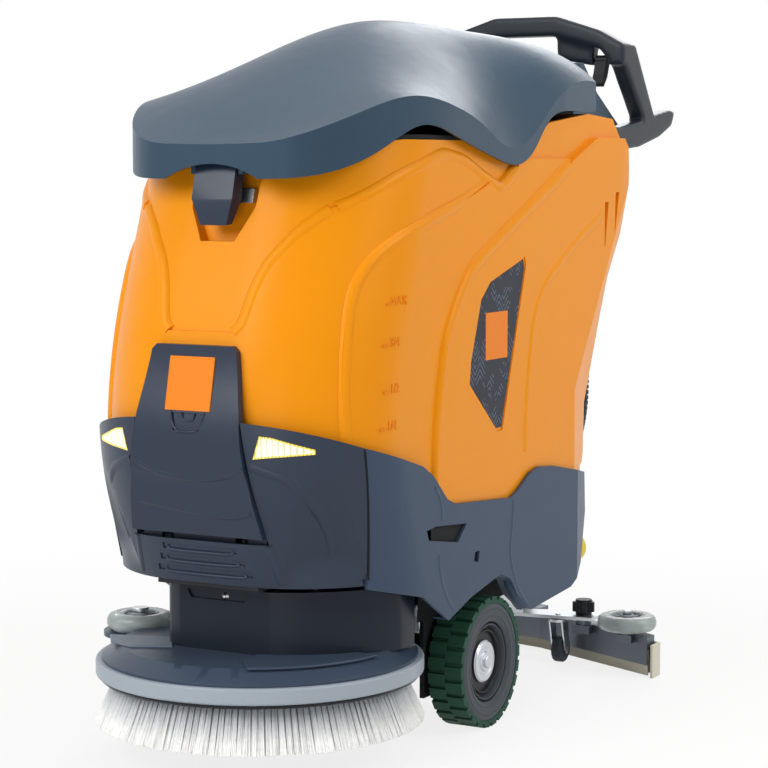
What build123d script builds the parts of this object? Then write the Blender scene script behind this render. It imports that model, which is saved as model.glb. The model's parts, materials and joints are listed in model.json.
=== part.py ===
"""Walk-behind scrubber-dryer with one disc brush, a water tank and a rear squeegee."""
import math
import os

from build123d import *

# Stations are distances d behind the brush axis; x runs to the machine's left, z is up.
# Overall reach from the brush axis
REAR_REACH = 1197.0
RING_RADIUS = 256.0
BRUSH_Y = (RING_RADIUS - REAR_REACH) / 2

# Clearances and fits
SEAM_GAP = 2.0
RUN_FIT = 0.05
SEAT_GAP = 0.3
SIDE_CLEAR = 1.0

# Base covers
BASE_HALF = 256.0
BASE_WALL = 5.0
BASE_BOTTOM = 288.0
BASE_CORNER = 205.0
BASE_REAR_CORNER = 40.0
BASE_FRONT_TOP = 541.0
BASE_FRONT_OUT = 204.0
BASE_FRONT_FOOT = 150.0
BASE_REAR = 715.0
BASE_BULGE = 12.0
SEAM_TOP = (-86.0, 499.0)
SEAM_FOOT = (-52.0, 284.0)
TAPER_START = 630.0
TAPER = 0.3
SCOOP_RADIUS = 170.0
SCOOP_DEPTH = 15.0
LOUVRE_HEIGHT = 9.0
LOUVRE_DEPTH = 2.5
LOUVRE_COUNT = 3

# Solution tank
TANK_HALF = 249.0
TANK_STEP = 5.0
TANK_CORE = TANK_HALF - 2 * TANK_STEP
TANK_WALL = 5.0
TANK_CORNER = 186.0
TANK_REAR_CORNER = 45.0
TANK_FLOOR = 350.0
TANK_RIM = 952.0
TANK_REAR = 785.0
SHOULDER_A = (700.0, 1003.0)
SHOULDER_B = (806.0, 996.0)
SHOULDER_C = (858.0, 945.0)
PANEL_DEPTH = 4.0
LABEL_DEPTH = 2.5
GASKET = 8.0

# Recovery tub inside the tank
TUB_HALF = 212.0
TUB_WALL = 4.0
TUB_FLANGE = 15.0
TUB_FLOOR = 600.0
TUB_RIM = 930.0
TUB_FRONT = 30.0
TUB_REAR = 640.0
TUB_CORNER = 70.0

# Lid, hinge and latch
LID_HALF = 250.0
LID_WALL = 4.0
LID_FRONT = -133.0
LID_REAR = 728.0
LID_FLAT = 85.0
LID_BEND = 180.0
LID_TAIL_TAPER = 9.0
LID_PIN = (746.0, 1016.0)
LID_PIN_RADIUS = 5.0
HINGE_X = 120.0
HINGE_WIDE = 40.0
HINGE_CHEEK = 6.0
ARCH_HALF = 82.0
ARCH_RISE = 22.0
LATCH_PIN = (-106.0, 908.0)
LATCH_PIN_RADIUS = 3.0
LATCH_HALF = 36.0

# Front hatch
HATCH_PROUD = 2.0
HATCH_DEPTH = 12.0
HATCH_WALL = 4.0
HATCH_TOP = 651.0
HATCH_FOOT = 366.0
HATCH_PIN = (-150.0, 340.0)
HATCH_PIN_RADIUS = 3.0
ARM_X = 66.0
ARM_WIDE = 12.0

# Brush deck, in its raised rest place
DECK_TRAVEL = 54.0
BRUSH_RADIUS = 252.0
BRISTLE_ROOT_RADIUS = 224.0
BRISTLE_ROOT_Z = 118.0
BRISTLE_ROWS = (92, 80, 66, 52, 40)
BRISTLE_SIDE = 8.0
BACKING_RADIUS = 226.0
BACKING_SLICE = 6.0
BACKING_TOP = 134.0
RING_LOW = 129.0
RING_HIGH = 154.0
RING_WALL = 16.0
PAN_TOP = 176.0
PAN_WALL = 6.0
TOWER_RADIUS = 235.0
TOWER_CENTRE = 115.0
TOWER_HALF = 226.0
TOWER_FRONT = -108.0
TOWER_BACK = 95.0
TOWER_TOP = 274.0
CUT_FRONT = (-107.0, -95.0)
CUT_REAR = (-190.0, 60.0)
TOWER_WALL = 5.0
MOTOR_RADIUS = 62.0
MOTOR_TOP = 248.0
SPINDLE_RADIUS = 12.0
POST_X = 90.0
POST_D = 20.0
POST_RADIUS = 10.0
POST_TOP = 400.0
ACTUATOR_D = 52.0
ACTUATOR_RADIUS = 22.0
LIFT_ROD_RADIUS = 8.0
ROLLER_X = -245.0
ROLLER_D = 24.0
ROLLER_RADIUS = 54.0
ROLLER_THICK = 28.0
ROLLER_PIN_RADIUS = 8.0
ROLLER_SHELF = 164.0

# Drive wheels
WHEEL_RADIUS = 107.0
WHEEL_D = 310.0
WHEEL_INNER = 188.0
WHEEL_OUTER = 248.0
TREAD_DEPTH = 5.0
TREAD_BLOCKS = 26
RIM_RADIUS = 96.0
AXLE_RADIUS = 12.5
AXLE_INNER = 140.0
HUB_RADIUS = 35.0

# Chassis
PLATE_THICK = 6.0
FLOOR_Z = 214.0
FRAME_HALF = 174.0
AXLE_PLATE_X = 172.0
AXLE_PLATE_THICK = 8.0
TONGUE_HALF = 130.0
GEAR_RADIUS = 44.0
BATTERY_HALF = 140.0
VACUUM_RADIUS = 58.0
VACUUM_D = 598.0

# Rear castors
CASTOR_X = 88.0
CASTOR_D = 580.0
CASTOR_RADIUS = 40.0
CASTOR_WIDTH = 28.0
CASTOR_TRAIL = 26.0
CASTOR_TOP = 104.0
CASTOR_PIN_RADIUS = 8.0

# Squeegee
SQUEEGEE_HALF = 343.0
SQUEEGEE_APEX = 963.0
SQUEEGEE_SWEEP = 0.466
BLADE_THICK = 5.0
BLADE_HIGH = 60.0
FRONT_BLADE_HIGH = 50.0
BAR_THICK = 26.0
BAR_LOW = 36.0
BAR_HIGH = 72.0
CLAMP_THICK = 4.0
CLAMP_LOW = 22.0
CARRIER_Z = 84.0
CARRIER_ARM_X = 55.0
SQUEEGEE_PIVOT = (655.0, 150.0)
PIVOT_RADIUS = 6.0
KNOB_X = 178.0
KNOB_D = 834.0
KNOB_RADIUS = 21.0
SMALL_CASTOR_X = 138.0
SMALL_CASTOR_D = 808.0
SMALL_WHEEL_RADIUS = 25.0
SMALL_WHEEL_WIDTH = 18.0
SMALL_TRAIL = 12.0
END_ROLLER_X = 284.0
END_ROLLER_D = 788.0
END_ROLLER_RADIUS = 53.0
END_ROLLER_LOW = 80.0
END_ROLLER_HIGH = 108.0
NOZZLE_D = 928.0
NOZZLE_TOP = 112.0

# Suction hose
HOSE_RADIUS = 25.0
HOSE_BORE = 19.0
HOSE_RIB = 3.0
HOSE_RIBS = 50
HOSE_BEND = 205.0
SPIGOT_X = 165.0
SPIGOT_D = 812.0
SPIGOT_END = 712.0
NIPPLE = 28.0

# Drain
DRAIN_X = 205.0
DRAIN_Z = 234.0
DRAIN_RADIUS = 20.0
DRAIN_CAP_RADIUS = 26.0
DRAIN_END = 707.0

# Console and handle
CONSOLE_HALF = 165.0
CONSOLE_WALL = 3.5
CONSOLE_TOE = (1010.0, 986.0)
CONSOLE_RIDGE = (905.0, 1046.0)
CONSOLE_PEAK = (842.0, 1099.0)
BUTTON_X = 30.0
KEY_X = 110.0
BUTTON_RADIUS = 9.0
HANDLE_X = 186.0
HANDLE_WIDE = 32.0
CROSSBAR_TOP = 1191.0
CROSSBAR_TALL = 37.0
TRIGGER_PIN = (964.0, 1109.0)
TRIGGER_PIN_RADIUS = 4.0
TRIGGER_LOW = 138.0
TRIGGER_HIGH = 160.0


def at(d):
    """Part-frame Y of a station d behind the brush axis."""
    return BRUSH_Y + d


def side_line(*points):
    """Straight runs through (d, z) points in the side view."""
    places = [Vector(0, at(d), z) for d, z in points]
    return [Edge.make_line(a, b) for a, b in zip(places, places[1:])]


def side_curve(*points):
    """Smooth curve through (d, z) points in the side view."""
    return [Edge.make_spline([Vector(0, at(d), z) for d, z in points])]


def side_slab(edges, low, high):
    """Side-view outline carried from x = low to x = high."""
    return Pos(low, 0, 0) * extrude(Face(Wire(edges)), amount=high - low, dir=(1, 0, 0))


def side_plate(points, low, high):
    return side_slab(side_line(*points, points[0]), low, high)


def front_prism(points, near, far):
    """Front-view (x, z) outline carried from station near to station far."""
    places = [Vector(x, at(near), z) for x, z in points]
    edges = [Edge.make_line(a, b) for a, b in zip(places, places[1:] + places[:1])]
    return extrude(Face(Wire(edges)), amount=far - near, dir=(0, 1, 0))


def plan_prism(points, low, high):
    """Plan (x, d) outline carried from z = low to z = high."""
    places = [Vector(x, at(d), low) for x, d in points]
    edges = [Edge.make_line(a, b) for a, b in zip(places, places[1:] + places[:1])]
    return extrude(Face(Wire(edges)), amount=high - low, dir=(0, 0, 1))


def block(x0, x1, d0, d1, z0, z1):
    return Pos((x0 + x1) / 2, at((d0 + d1) / 2), (z0 + z1) / 2) * Box(x1 - x0, d1 - d0, z1 - z0)


def post(x, d, low, high, radius):
    """Upright cylinder."""
    return Pos(x, at(d), (low + high) / 2) * Cylinder(radius, high - low)


def rod(d, z, low, high, radius):
    """Cylinder across the machine from x = low to x = high."""
    return Pos((low + high) / 2, at(d), z) * Rot(0, 90, 0) * Cylinder(radius, high - low)


def spout(x, z, near, far, radius):
    """Cylinder along the machine from station near to station far."""
    return Pos(x, at((near + far) / 2), z) * Rot(90, 0, 0) * Cylinder(radius, far - near)


def flip(solid):
    """Mirror image on the other side of the machine."""
    return mirror(solid, Plane.YZ)


def pair(solid):
    """A piece and its mirror image, as one group."""
    return Compound(children=[*solid.solids(), *flip(solid).solids()])


def mirrored_points(points):
    """Half outline given on the +x side, closed by its mirror image."""
    return points + [(-x, other) for x, other in reversed(points)]


def corner_edges(solid, low, high, reach):
    """Long upright edges near the outer sides between two stations."""
    return [
        edge
        for edge in solid.edges()
        if abs(edge.center().X) > reach and low < edge.center().Y - BRUSH_Y < high and edge.length > 60
    ]


def rounded_block(front, rear, half, radius, rear_radius):
    """Full-width block with a curved front face and rounded upright corners."""
    low, high = front[0][1], front[-1][1]
    edges = side_curve(*front) + side_line(front[-1], (rear, high), (rear, low), front[0])
    solid = side_slab(edges, -half, half)
    solid = fillet(corner_edges(solid, front[0][0] - 200, 0, half - 1), radius)
    return fillet(corner_edges(solid, rear - 1, rear + 1, half - 1), rear_radius)


def base_rim():
    """Rim of the base behind the front cover, where the tank sits."""
    return [
        SEAM_TOP,
        (60, 457),
        (95, 438),
        (140, 397),
        (168, 386),
        (365, 371),
        (392, 380),
        (440, 404),
        (471, 410),
        (530, 405),
        (610, 390),
        (BASE_REAR, 372),
    ]


def base_block(inset):
    """Outer form of the covers, drawn in at the rear corners."""
    front = [
        (-BASE_FRONT_FOOT + 40 + inset, BASE_BOTTOM - 130),
        (-BASE_FRONT_FOOT + inset, BASE_BOTTOM),
        (-BASE_FRONT_OUT + 7 + inset, 445),
        (-BASE_FRONT_OUT + inset, 500),
        (-BASE_FRONT_OUT + inset, BASE_FRONT_TOP + 20),
    ]
    half, rear = BASE_HALF - inset, BASE_REAR + BASE_BULGE + 8 - inset
    solid = rounded_block(front, rear, half, BASE_CORNER - inset, BASE_REAR_CORNER)
    tail = rear + 10
    narrow = half - TAPER * (tail - TAPER_START)
    plan = mirrored_points([(narrow, tail), (half, TAPER_START), (half, -BASE_FRONT_OUT - 50)])
    return solid & plan_prism(plan, BASE_BOTTOM - 140, BASE_FRONT_TOP + 40)


def base_rear_line(inset):
    return [
        (BASE_REAR - inset, 372),
        (BASE_REAR + BASE_BULGE - inset, 300),
        (BASE_REAR - 40 - inset, 216),
    ]


def base_outside():
    """Side-view outline of the covers: rim, rear, wheel arch and foot."""
    arch = [(605, 185), (446, 172), (392, 205), (366, 236), (330, 250), (222, 229), (146, 205)]
    foot = [(61, 255), (-60, 284), (-90, BASE_BOTTOM), (-BASE_FRONT_OUT - 40, BASE_BOTTOM)]
    slope = (BASE_FRONT_TOP - SEAM_TOP[1]) / (BASE_FRONT_OUT + SEAM_TOP[0])
    nose = (-BASE_FRONT_OUT - 40, BASE_FRONT_TOP + 40 * slope)
    return side_plate([nose] + base_rim() + base_rear_line(0)[1:] + arch + foot, -BASE_HALF, BASE_HALF)


def base_inside():
    top, bottom = BASE_FRONT_TOP + 40, BASE_BOTTOM - 140
    rear = base_rear_line(BASE_WALL)
    ahead = -BASE_FRONT_OUT - 40
    outline = [(ahead, top), (rear[0][0], top), *rear, (rear[-1][0], bottom), (ahead, bottom)]
    return base_block(BASE_WALL) & side_plate(outline, -BASE_HALF, BASE_HALF)


def cheek_scoop(grow):
    """Tapering hollow below a headlight, deepest at the foot."""
    turn = math.radians(40)
    away = Vector(math.sin(turn), -math.cos(turn), 0)
    centre = Vector(BASE_HALF - BASE_CORNER, at(BASE_CORNER - BASE_FRONT_FOOT), BASE_BOTTOM)
    foot = centre + away * (BASE_CORNER - SCOOP_DEPTH + SCOOP_RADIUS)
    head_out = BASE_FRONT_OUT - BASE_FRONT_FOOT + SCOOP_DEPTH - 8
    head = foot + away * head_out + Vector(0, 0, 445 - BASE_BOTTOM)
    axis = (head - foot).normalized()
    start, end = foot - axis * 60, head + axis * 60
    return Solid.make_cylinder(SCOOP_RADIUS + grow, (end - start).length, Plane(origin=start, z_dir=axis))


def covers():
    """Both covers in one, before the seam is cut."""
    outer, inner = base_outside() & base_block(0), base_inside()
    scoop, behind = cheek_scoop(0), cheek_scoop(BASE_WALL)
    return outer - scoop - flip(scoop) - (inner - behind - flip(behind))


def hatch_outline(grow):
    """Front view of the hatch: waisted sides under a narrower head."""
    return mirrored_points(
        [
            (116 + grow, HATCH_FOOT - 5 * grow),
            (100 + grow, 470),
            (90 + grow, 548),
            (74 + grow, HATCH_TOP - 10 + grow),
            (66 + grow, HATCH_TOP - 2 + grow),
        ]
    )


def headlight_outline(grow):
    return [
        (111 - grow, 487 - grow),
        (121 - grow, 521 + grow),
        (138, 519 + grow),
        (190 + grow, 501 + grow),
        (190 + grow, 494 - grow),
        (128, 489 - grow),
    ]


def seam_side(front):
    """Space ahead of the seam between front cover and base shell, or behind it."""
    slope = (SEAM_FOOT[0] - SEAM_TOP[0]) / (SEAM_FOOT[1] - SEAM_TOP[1])
    shift = -SEAM_GAP / 2 if front else SEAM_GAP / 2
    top, bottom = BASE_FRONT_TOP + 100, 100
    line = [(SEAM_TOP[0] + shift + (z - SEAM_TOP[1]) * slope, z) for z in (top, bottom)]
    far = -BASE_FRONT_OUT - 100 if front else BASE_REAR + 100
    return side_plate([line[0], line[1], (far, bottom), (far, top)], -BASE_HALF - 10, BASE_HALF + 10)


def front_cover(shell):
    """Front cover with the hatch opening, lamp openings, air slots and hinge lugs."""
    cover = shell & seam_side(True)
    cover -= front_prism(hatch_outline(SEAM_GAP), -300, -60)
    lamp = front_prism(headlight_outline(SEAT_GAP), -300, -60)
    cover = cover - lamp - flip(lamp)
    skin = base_block(0) - base_block(LOUVRE_DEPTH)
    for row in range(LOUVRE_COUNT):
        z = HATCH_FOOT - 22 - row * 2 * LOUVRE_HEIGHT
        half = 66 + 9 * row
        slot = block(-half, half, -300, -60, z - LOUVRE_HEIGHT / 2, z + LOUVRE_HEIGHT / 2)
        cover -= slot & skin
    d, z = HATCH_PIN
    near, far = ARM_X + ARM_WIDE / 2 + SIDE_CLEAR, ARM_X + ARM_WIDE / 2 + SIDE_CLEAR + 6
    lug = block(near, far, d - 40, d + 8, z - 8, z + 8) & base_block(BASE_WALL / 2)
    lug -= rod(d, z, near - 1, far + 1, HATCH_PIN_RADIUS)
    return max((cover + lug + flip(lug)).solids(), key=lambda solid: solid.volume)


def base_shell(shell):
    """Side and rear cover with wheel arches, air slots and the drain opening."""
    cover = shell & seam_side(False)
    slot = [(72, 356), (102, 359), (206, 350), (176, 324), (79, 340)]
    small = [(236, 300), (252, 300), (247, 282), (232, 286)]
    for outline in (slot, small):
        cover -= side_plate(outline, -BASE_HALF - 5, BASE_HALF + 5)
    return cover - spout(DRAIN_X, DRAIN_Z, 560, 800, DRAIN_RADIUS - 1) + drain_neck()


def headlight():
    return (base_block(-SIDE_CLEAR) - base_block(BASE_WALL)) & front_prism(headlight_outline(0), -300, -60)


def hatch_line(inset):
    return [
        (-BASE_FRONT_FOOT - 21 - HATCH_PROUD + inset, HATCH_FOOT - 15),
        (-BASE_FRONT_OUT + 7 - HATCH_PROUD + inset, 445),
        (-BASE_FRONT_OUT - HATCH_PROUD + inset, 500),
        (-197 + inset, 560),
        (-180 + inset, HATCH_TOP + 8),
    ]


def hatch_layer(front, rear):
    """Layer of the hatch between two depths behind its face."""
    near, far = hatch_line(front), hatch_line(rear)
    edges = side_curve(*near) + side_line(near[-1], far[-1])
    edges += side_curve(*far[::-1]) + side_line(far[0], near[0])
    return side_slab(edges, -130, 130)


def front_hatch():
    """Tray-shaped flap with a finger recess, hinged at its foot."""
    d, z = HATCH_PIN
    tray = hatch_layer(0, HATCH_DEPTH) & front_prism(hatch_outline(0), -300, -60)
    tray -= hatch_layer(HATCH_WALL, HATCH_DEPTH + 20) & front_prism(hatch_outline(-HATCH_WALL), -300, -60)
    recess = front_prism(mirrored_points([(22, 524), (30, 550)]), -300, -60)
    tray -= recess & hatch_layer(-10, HATCH_WALL - 1.5)
    low, high = ARM_X - ARM_WIDE / 2, ARM_X + ARM_WIDE / 2
    bend = [(d - 28, z + 33), (d - 28, z + 43), (d + 22, z + 43), (d + 22, z - 8), (d, z - 8), (d, z + 8)]
    arm = side_plate(bend + [(d + 12, z + 8), (d + 12, z + 33)], low, high)
    arm += rod(d, z, low, high, 8)
    arm -= rod(d, z, low - 1, high + 1, HATCH_PIN_RADIUS + RUN_FIT)
    return tray + arm + flip(arm)


def tank_block(half, inset):
    """Tall rounded form of the tank before its outline is cut."""
    front = [
        (-186 + inset, 300),
        (-186 + inset, 440),
        (-176 + inset, 600),
        (-146 + inset, 725),
        (-110 + inset, 825),
        (-74 + inset, 930),
        (-46 + inset, 1010),
        (-20 + inset, 1090),
    ]
    rear = SHOULDER_C[0] + 40 - inset
    return rounded_block(front, rear, half - inset, TANK_CORNER - inset, TANK_REAR_CORNER)


def tank_rim():
    front = [(-200, 912), (-84, 912), (-20, TANK_RIM - 7), (60, TANK_RIM)]
    return front + [(475, TANK_RIM), (540, 985), SHOULDER_A]


def tank_rear(inset):
    return [
        (SHOULDER_B[0] - inset, SHOULDER_B[1] - inset),
        (SHOULDER_C[0] - inset, SHOULDER_C[1] - inset / 2),
        (SHOULDER_C[0] + 4 - inset, 902),
        (SHOULDER_C[0] - 8 - inset, 792),
        (TANK_REAR - inset, 716),
        (TANK_REAR - 17 - inset, 640),
        (TANK_REAR - 26 - inset, 566),
        (TANK_REAR - 48 - inset, 404),
        (TANK_REAR - 62 - inset, 388),
        (TANK_REAR - 85 - inset, 384),
        (TANK_REAR - 85 - inset, TANK_FLOOR + inset),
    ]


def tank_foot(inset):
    return [(150, TANK_FLOOR + inset), (100, 405 + inset), (-60, 468 + inset), (-210, 468 + inset)]


def rear_taper(inset):
    """Wedge taken off the rear side face behind its slanting crease."""
    face = TANK_HALF - inset
    deep = 300
    flat = [(face, TAPER_START), (face - TAPER * deep, TAPER_START + deep), (face + 60, TAPER_START + deep)]
    wedge = plan_prism(flat + [(face + 60, TAPER_START)], 300, 1050)
    lean = Vector(0, 155, 239).normalized()
    plane = Plane(origin=(face, at(TAPER_START + 9), 542), x_dir=(1, 0, 0), z_dir=lean)
    outline = [(0, 0), (60, 0), (60, deep), (-TAPER * deep, deep)]
    places = [plane.from_local_coords(Vector(x, n, -400)) for x, n in outline]
    edges = [Edge.make_line(a, b) for a, b in zip(places, places[1:] + places[:1])]
    return wedge & extrude(Face(Wire(edges)), amount=900, dir=lean)


def tank_solid(half):
    outline = tank_rim() + tank_rear(0) + tank_foot(0)
    return tank_block(half, 0) & side_plate(outline, -half, half)


def tank_hollow():
    """Inside of the tank, open at the top ahead of the rear shoulder."""
    top = 1080
    mouth = SHOULDER_A[0] - 20
    outline = [(-200, top), (mouth, top), (mouth, SHOULDER_A[1] - TANK_WALL)]
    outline += tank_rear(TANK_WALL) + tank_foot(TANK_WALL)
    deep = TANK_WALL + PANEL_DEPTH
    hollow = tank_block(TANK_CORE, deep) & side_plate(outline, -TANK_CORE, TANK_CORE)
    wedge = rear_taper(TANK_HALF - TANK_CORE + deep)
    return hollow - wedge - flip(wedge)


def flank_one():
    """Side panel behind the first moulded step."""
    ridge = side_curve((-100, 440), (-103, 573), (-79, 702), (-40, 767), (30, 808), (167, 847), (330, 896))
    edges = ridge + side_line((330, 896), (420, 925), (900, 925), (900, 300), (-100, 300), (-100, 440))
    return side_slab(edges, -BASE_HALF, BASE_HALF)


def flank_two():
    """Side panel behind the second moulded step."""
    low = [(116, 400), (121, 507), (137, 592), (158, 659)]
    ridge = side_curve(*low, (226, 741), (296, 779), (443, 843), (621, 923))
    edges = ridge + side_line((621, 923), (720, 962), (900, 962), (900, 300), (116, 300), (116, 400))
    return side_slab(edges, -BASE_HALF, BASE_HALF)


def label_outline():
    return [(427, 764), (432, 750), (346, 484), (326, 484), (228, 566), (233, 604), (268, 700), (304, 730)]


def collar():
    """Sunken front panel that runs round the corners and along the flanks under the lid."""
    turn = (-60, 850)
    front = [(57, 668), (68, 684), (78, 728), (92, 768), (114, 798), (134, 823), (166, turn[1])]
    front += [(300, 950), (300, 1010)]
    panel = front_prism(mirrored_points(front), -300, turn[0])
    flank = [turn, (41, 900), (157, 934), (236, 923), (353, 876), (411, 911), (470, 980)]
    flank += [(470, 1010), (turn[0], 1010)]
    return panel + side_plate(flank, -BASE_HALF, BASE_HALF)


def latch_recess(grow):
    """Pocket behind the latch, or that pocket with a wall round it."""
    back = [(-94 + grow, 795 - grow), (-60 + grow, 940), (-200, 940), (-200, 795 - grow)]
    front_view = mirrored_points([(30 + grow, 800 - grow), (56 + grow, 850), (62 + grow, 940)])
    return side_plate(back, -80, 80) & front_prism(front_view, -300, -40)


def solution_tank():
    """Moulded tank with stepped flanks, sunken front panel and latch recess."""
    tank = tank_solid(TANK_CORE)
    tank += tank_solid(TANK_CORE + TANK_STEP) & flank_one()
    tank += tank_solid(TANK_HALF) & flank_two()
    wedge = rear_taper(0)
    tank = tank - wedge - flip(wedge)
    tank -= block(-300, 300, 430, 800, 300, 376) - base_block(BASE_WALL + SEAM_GAP)
    tank -= collar() - tank_block(TANK_CORE, PANEL_DEPTH)
    tank -= latch_recess(0)
    label = side_plate(label_outline(), TANK_HALF - LABEL_DEPTH, TANK_HALF + 5)
    tank = tank - label - flip(label)
    tank -= tank_hollow() - latch_recess(TANK_WALL)
    inner = TUB_HALF + 2 * SEAM_GAP
    ledge = block(inner, TANK_CORE - TANK_WALL, 100, 640, TUB_RIM - TUB_WALL - 6, TUB_RIM - TUB_WALL)
    return tank + ledge + flip(ledge) + hinge_brackets() + hose_spigot()


def recovery_tank():
    """Open tub for dirty water, hung by its flange on the ledges in the tank."""
    centre = (TUB_FRONT + TUB_REAR) / 2

    def plan(grow, low, high):
        size = (2 * (TUB_HALF + grow), TUB_REAR - TUB_FRONT + 2 * grow)
        sketch = RectangleRounded(*size, TUB_CORNER + grow)
        return Pos(0, at(centre), low) * extrude(sketch, amount=high - low)

    tub = plan(0, TUB_FLOOR, TUB_RIM) + plan(TUB_FLANGE, TUB_RIM - TUB_WALL, TUB_RIM)
    return tub - plan(-TUB_WALL, TUB_FLOOR + TUB_WALL, TUB_RIM + 10)


def lid_gasket():
    """Rubber seal standing on the tank's rim."""
    rim = tank_rim()[1:5]
    outline = rim + [(d, z + GASKET) for d, z in reversed(rim)]
    ring = tank_block(TANK_CORE, PANEL_DEPTH) - tank_block(TANK_CORE, PANEL_DEPTH + GASKET)
    return ring & side_plate(outline, -TANK_CORE, TANK_CORE)


def lid_plan(inset):
    """Plan of the lid: blunt nose, wide sides and a slightly narrower tail."""
    half = LID_HALF - inset
    nose, tail = LID_FRONT + inset, LID_REAR - inset
    tail_half = half - LID_TAIL_TAPER
    waist = LID_REAR - 150
    rx, ry = half - LID_FLAT, LID_BEND - nose
    edges = [
        EllipticalCenterArc((-LID_FLAT, at(LID_BEND)), rx, ry, start_angle=180, arc_size=90),
        Line((-LID_FLAT, at(nose)), (LID_FLAT, at(nose))),
        EllipticalCenterArc((LID_FLAT, at(LID_BEND)), rx, ry, start_angle=270, arc_size=90),
        Line((half, at(LID_BEND)), (half, at(waist))),
        Line((half, at(waist)), (tail_half, at(tail))),
        Line((tail_half, at(tail)), (-tail_half, at(tail))),
        Line((-tail_half, at(tail)), (-half, at(waist))),
        Line((-half, at(waist)), (-half, at(LID_BEND))),
    ]
    return Face(Wire(edges))


def lid_crown(inset):
    """Top of the lid as a loft through arched cross-sections at an even pitch."""
    pitch = 80
    edge_heights = [930, 968, 994, 1010, 1003, 982, 945, 908, 930, 990, 1024, 1032, 1032]
    shoulder_heights = [929, 966, 998, 1023, 1031, 1028, 1016, 1008, 1030, 1073, 1092, 1087, 1055]
    crown_heights = [926, 962, 1008, 1052, 1092, 1124, 1145, 1154, 1155, 1150, 1140, 1122, 1092]
    reach, floor = LID_HALF + 10, 860
    sections = []
    for step, heights in enumerate(zip(edge_heights, shoulder_heights, crown_heights)):
        y = at(-180 + step * pitch)
        edge, shoulder, crown = [height - inset for height in heights]
        low = [Vector(side * reach, y, floor) for side in (1, -1)]
        top = [(-reach, edge), (-0.83 * reach, shoulder), (0, crown), (0.83 * reach, shoulder), (reach, edge)]
        top = [Vector(x, y, z) for x, z in top]
        walls = [Edge.make_line(low[0], low[1]), Edge.make_line(low[1], top[0]), Edge.make_spline(top)]
        sections.append(Face(Wire(walls + [Edge.make_line(top[-1], low[0])])))
    return loft(sections)


def lid_solid(inset):
    return extrude(lid_plan(inset), amount=1300, dir=(0, 0, 1)) & lid_crown(inset)


def lid_underside():
    """Space below the wavy lower edge of the lid."""
    line = [(-160, 893), (-110, 896), (0, 938), (80, 973), (173, 960), (331, 922), (404, 915)]
    line += [(455, 935), (519, 989), (620, 1006), (LID_REAR + 30, 1013)]
    low = 800
    edges = side_curve(*line) + side_line(line[-1], (line[-1][0], low), (line[0][0], low), line[0])
    return side_slab(edges, -LID_HALF - 30, LID_HALF + 30)


def lid():
    """Hollow lid with a drooping lobe at each side and an arched notch over the latch."""
    shell = lid_solid(0) - lid_solid(LID_WALL) - lid_underside()
    arch_radius = (ARCH_HALF**2 + ARCH_RISE**2) / (2 * ARCH_RISE)
    shell -= spout(0, 893 + ARCH_RISE - arch_radius, LID_FRONT - 20, LID_FRONT + 20, arch_radius)
    d, z = LATCH_PIN
    ear = block(LATCH_HALF + 2, LATCH_HALF + 10, d - 9, d + 9, z - 8, 1000) & lid_solid(LID_WALL / 2)
    ear -= rod(d, z, 0, 80, LATCH_PIN_RADIUS)
    shell = shell + ear + flip(ear)
    d, z = LID_PIN
    low, high = HINGE_X - HINGE_WIDE / 2, HINGE_X + HINGE_WIDE / 2
    tongue = [(LID_REAR - 3, z - 3), (d, z - 11), (d, z + 11), (LID_REAR - 3, z + 14)]
    knuckle = rod(d, z, low, high, 11) + side_plate(tongue, low, high)
    knuckle -= rod(d, z, low - 10, high + 10, LID_PIN_RADIUS + RUN_FIT)
    return shell + knuckle + flip(knuckle)


def shoulder_z(d):
    """Height of the tank's flat rear shoulder at a station."""
    share = (d - SHOULDER_A[0]) / (SHOULDER_B[0] - SHOULDER_A[0])
    return SHOULDER_A[1] + share * (SHOULDER_B[1] - SHOULDER_A[1])


def hinge_brackets():
    """Two cheeks at each lid knuckle, standing on the rear shoulder."""
    d, z = LID_PIN
    foot = [(d - 15, shoulder_z(d - 15)), (d + 22, shoulder_z(d + 22))]
    outline = foot + [(d + 12, z + 11), (d - 7, z + 11), (d - 15, z)]
    reach = HINGE_WIDE / 2 + SIDE_CLEAR
    cheeks = side_plate(outline, HINGE_X - reach - HINGE_CHEEK, HINGE_X - reach)
    cheeks += side_plate(outline, HINGE_X + reach, HINGE_X + reach + HINGE_CHEEK)
    cheeks -= rod(d, z, 0, 200, LID_PIN_RADIUS)
    return cheeks + flip(cheeks)


def hinge_pins():
    reach = HINGE_WIDE / 2 + SIDE_CLEAR + HINGE_CHEEK
    return pair(rod(*LID_PIN, HINGE_X - reach, HINGE_X + reach, LID_PIN_RADIUS))


def lid_latch():
    """Pull-down catch hanging below the lid's front edge."""
    d, z = LATCH_PIN
    side = [(d - 10, z + 7), (d + 7, z + 7), (d + 7, z - 20), (d + 2, z - 50), (d - 4, z - 82)]
    side += [(d - 20, z - 84), (d - 24, z - 46), (d - 15, z - 8)]
    front = mirrored_points([(22, z - 90), (24, z - 80), (LATCH_HALF, z - 44), (LATCH_HALF, z + 20)])
    body = side_plate(side, -LATCH_HALF, LATCH_HALF) & front_prism(front, -200, 0)
    return body - rod(d, z, -60, 60, LATCH_PIN_RADIUS + RUN_FIT)


def latch_striker():
    """Steel catch bar on the tank, behind the latch."""
    lean = 34 / 145
    plate = [(-94 + lean * 62, 857), (-94 + lean * 84, 879), (-86, 879), (-92, 857)]
    return side_plate(plate, -48, 48)


def revolve_at(points, x, d):
    """Turned piece: (radius, z) outline spun about an upright axis."""
    places = [Vector(r, 0, z) for r, z in points]
    edges = [Edge.make_line(a, b) for a, b in zip(places, places[1:] + places[:1])]
    return Pos(x, at(d), 0) * revolve(Face(Wire(edges)), axis=Axis.Z)


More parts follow.
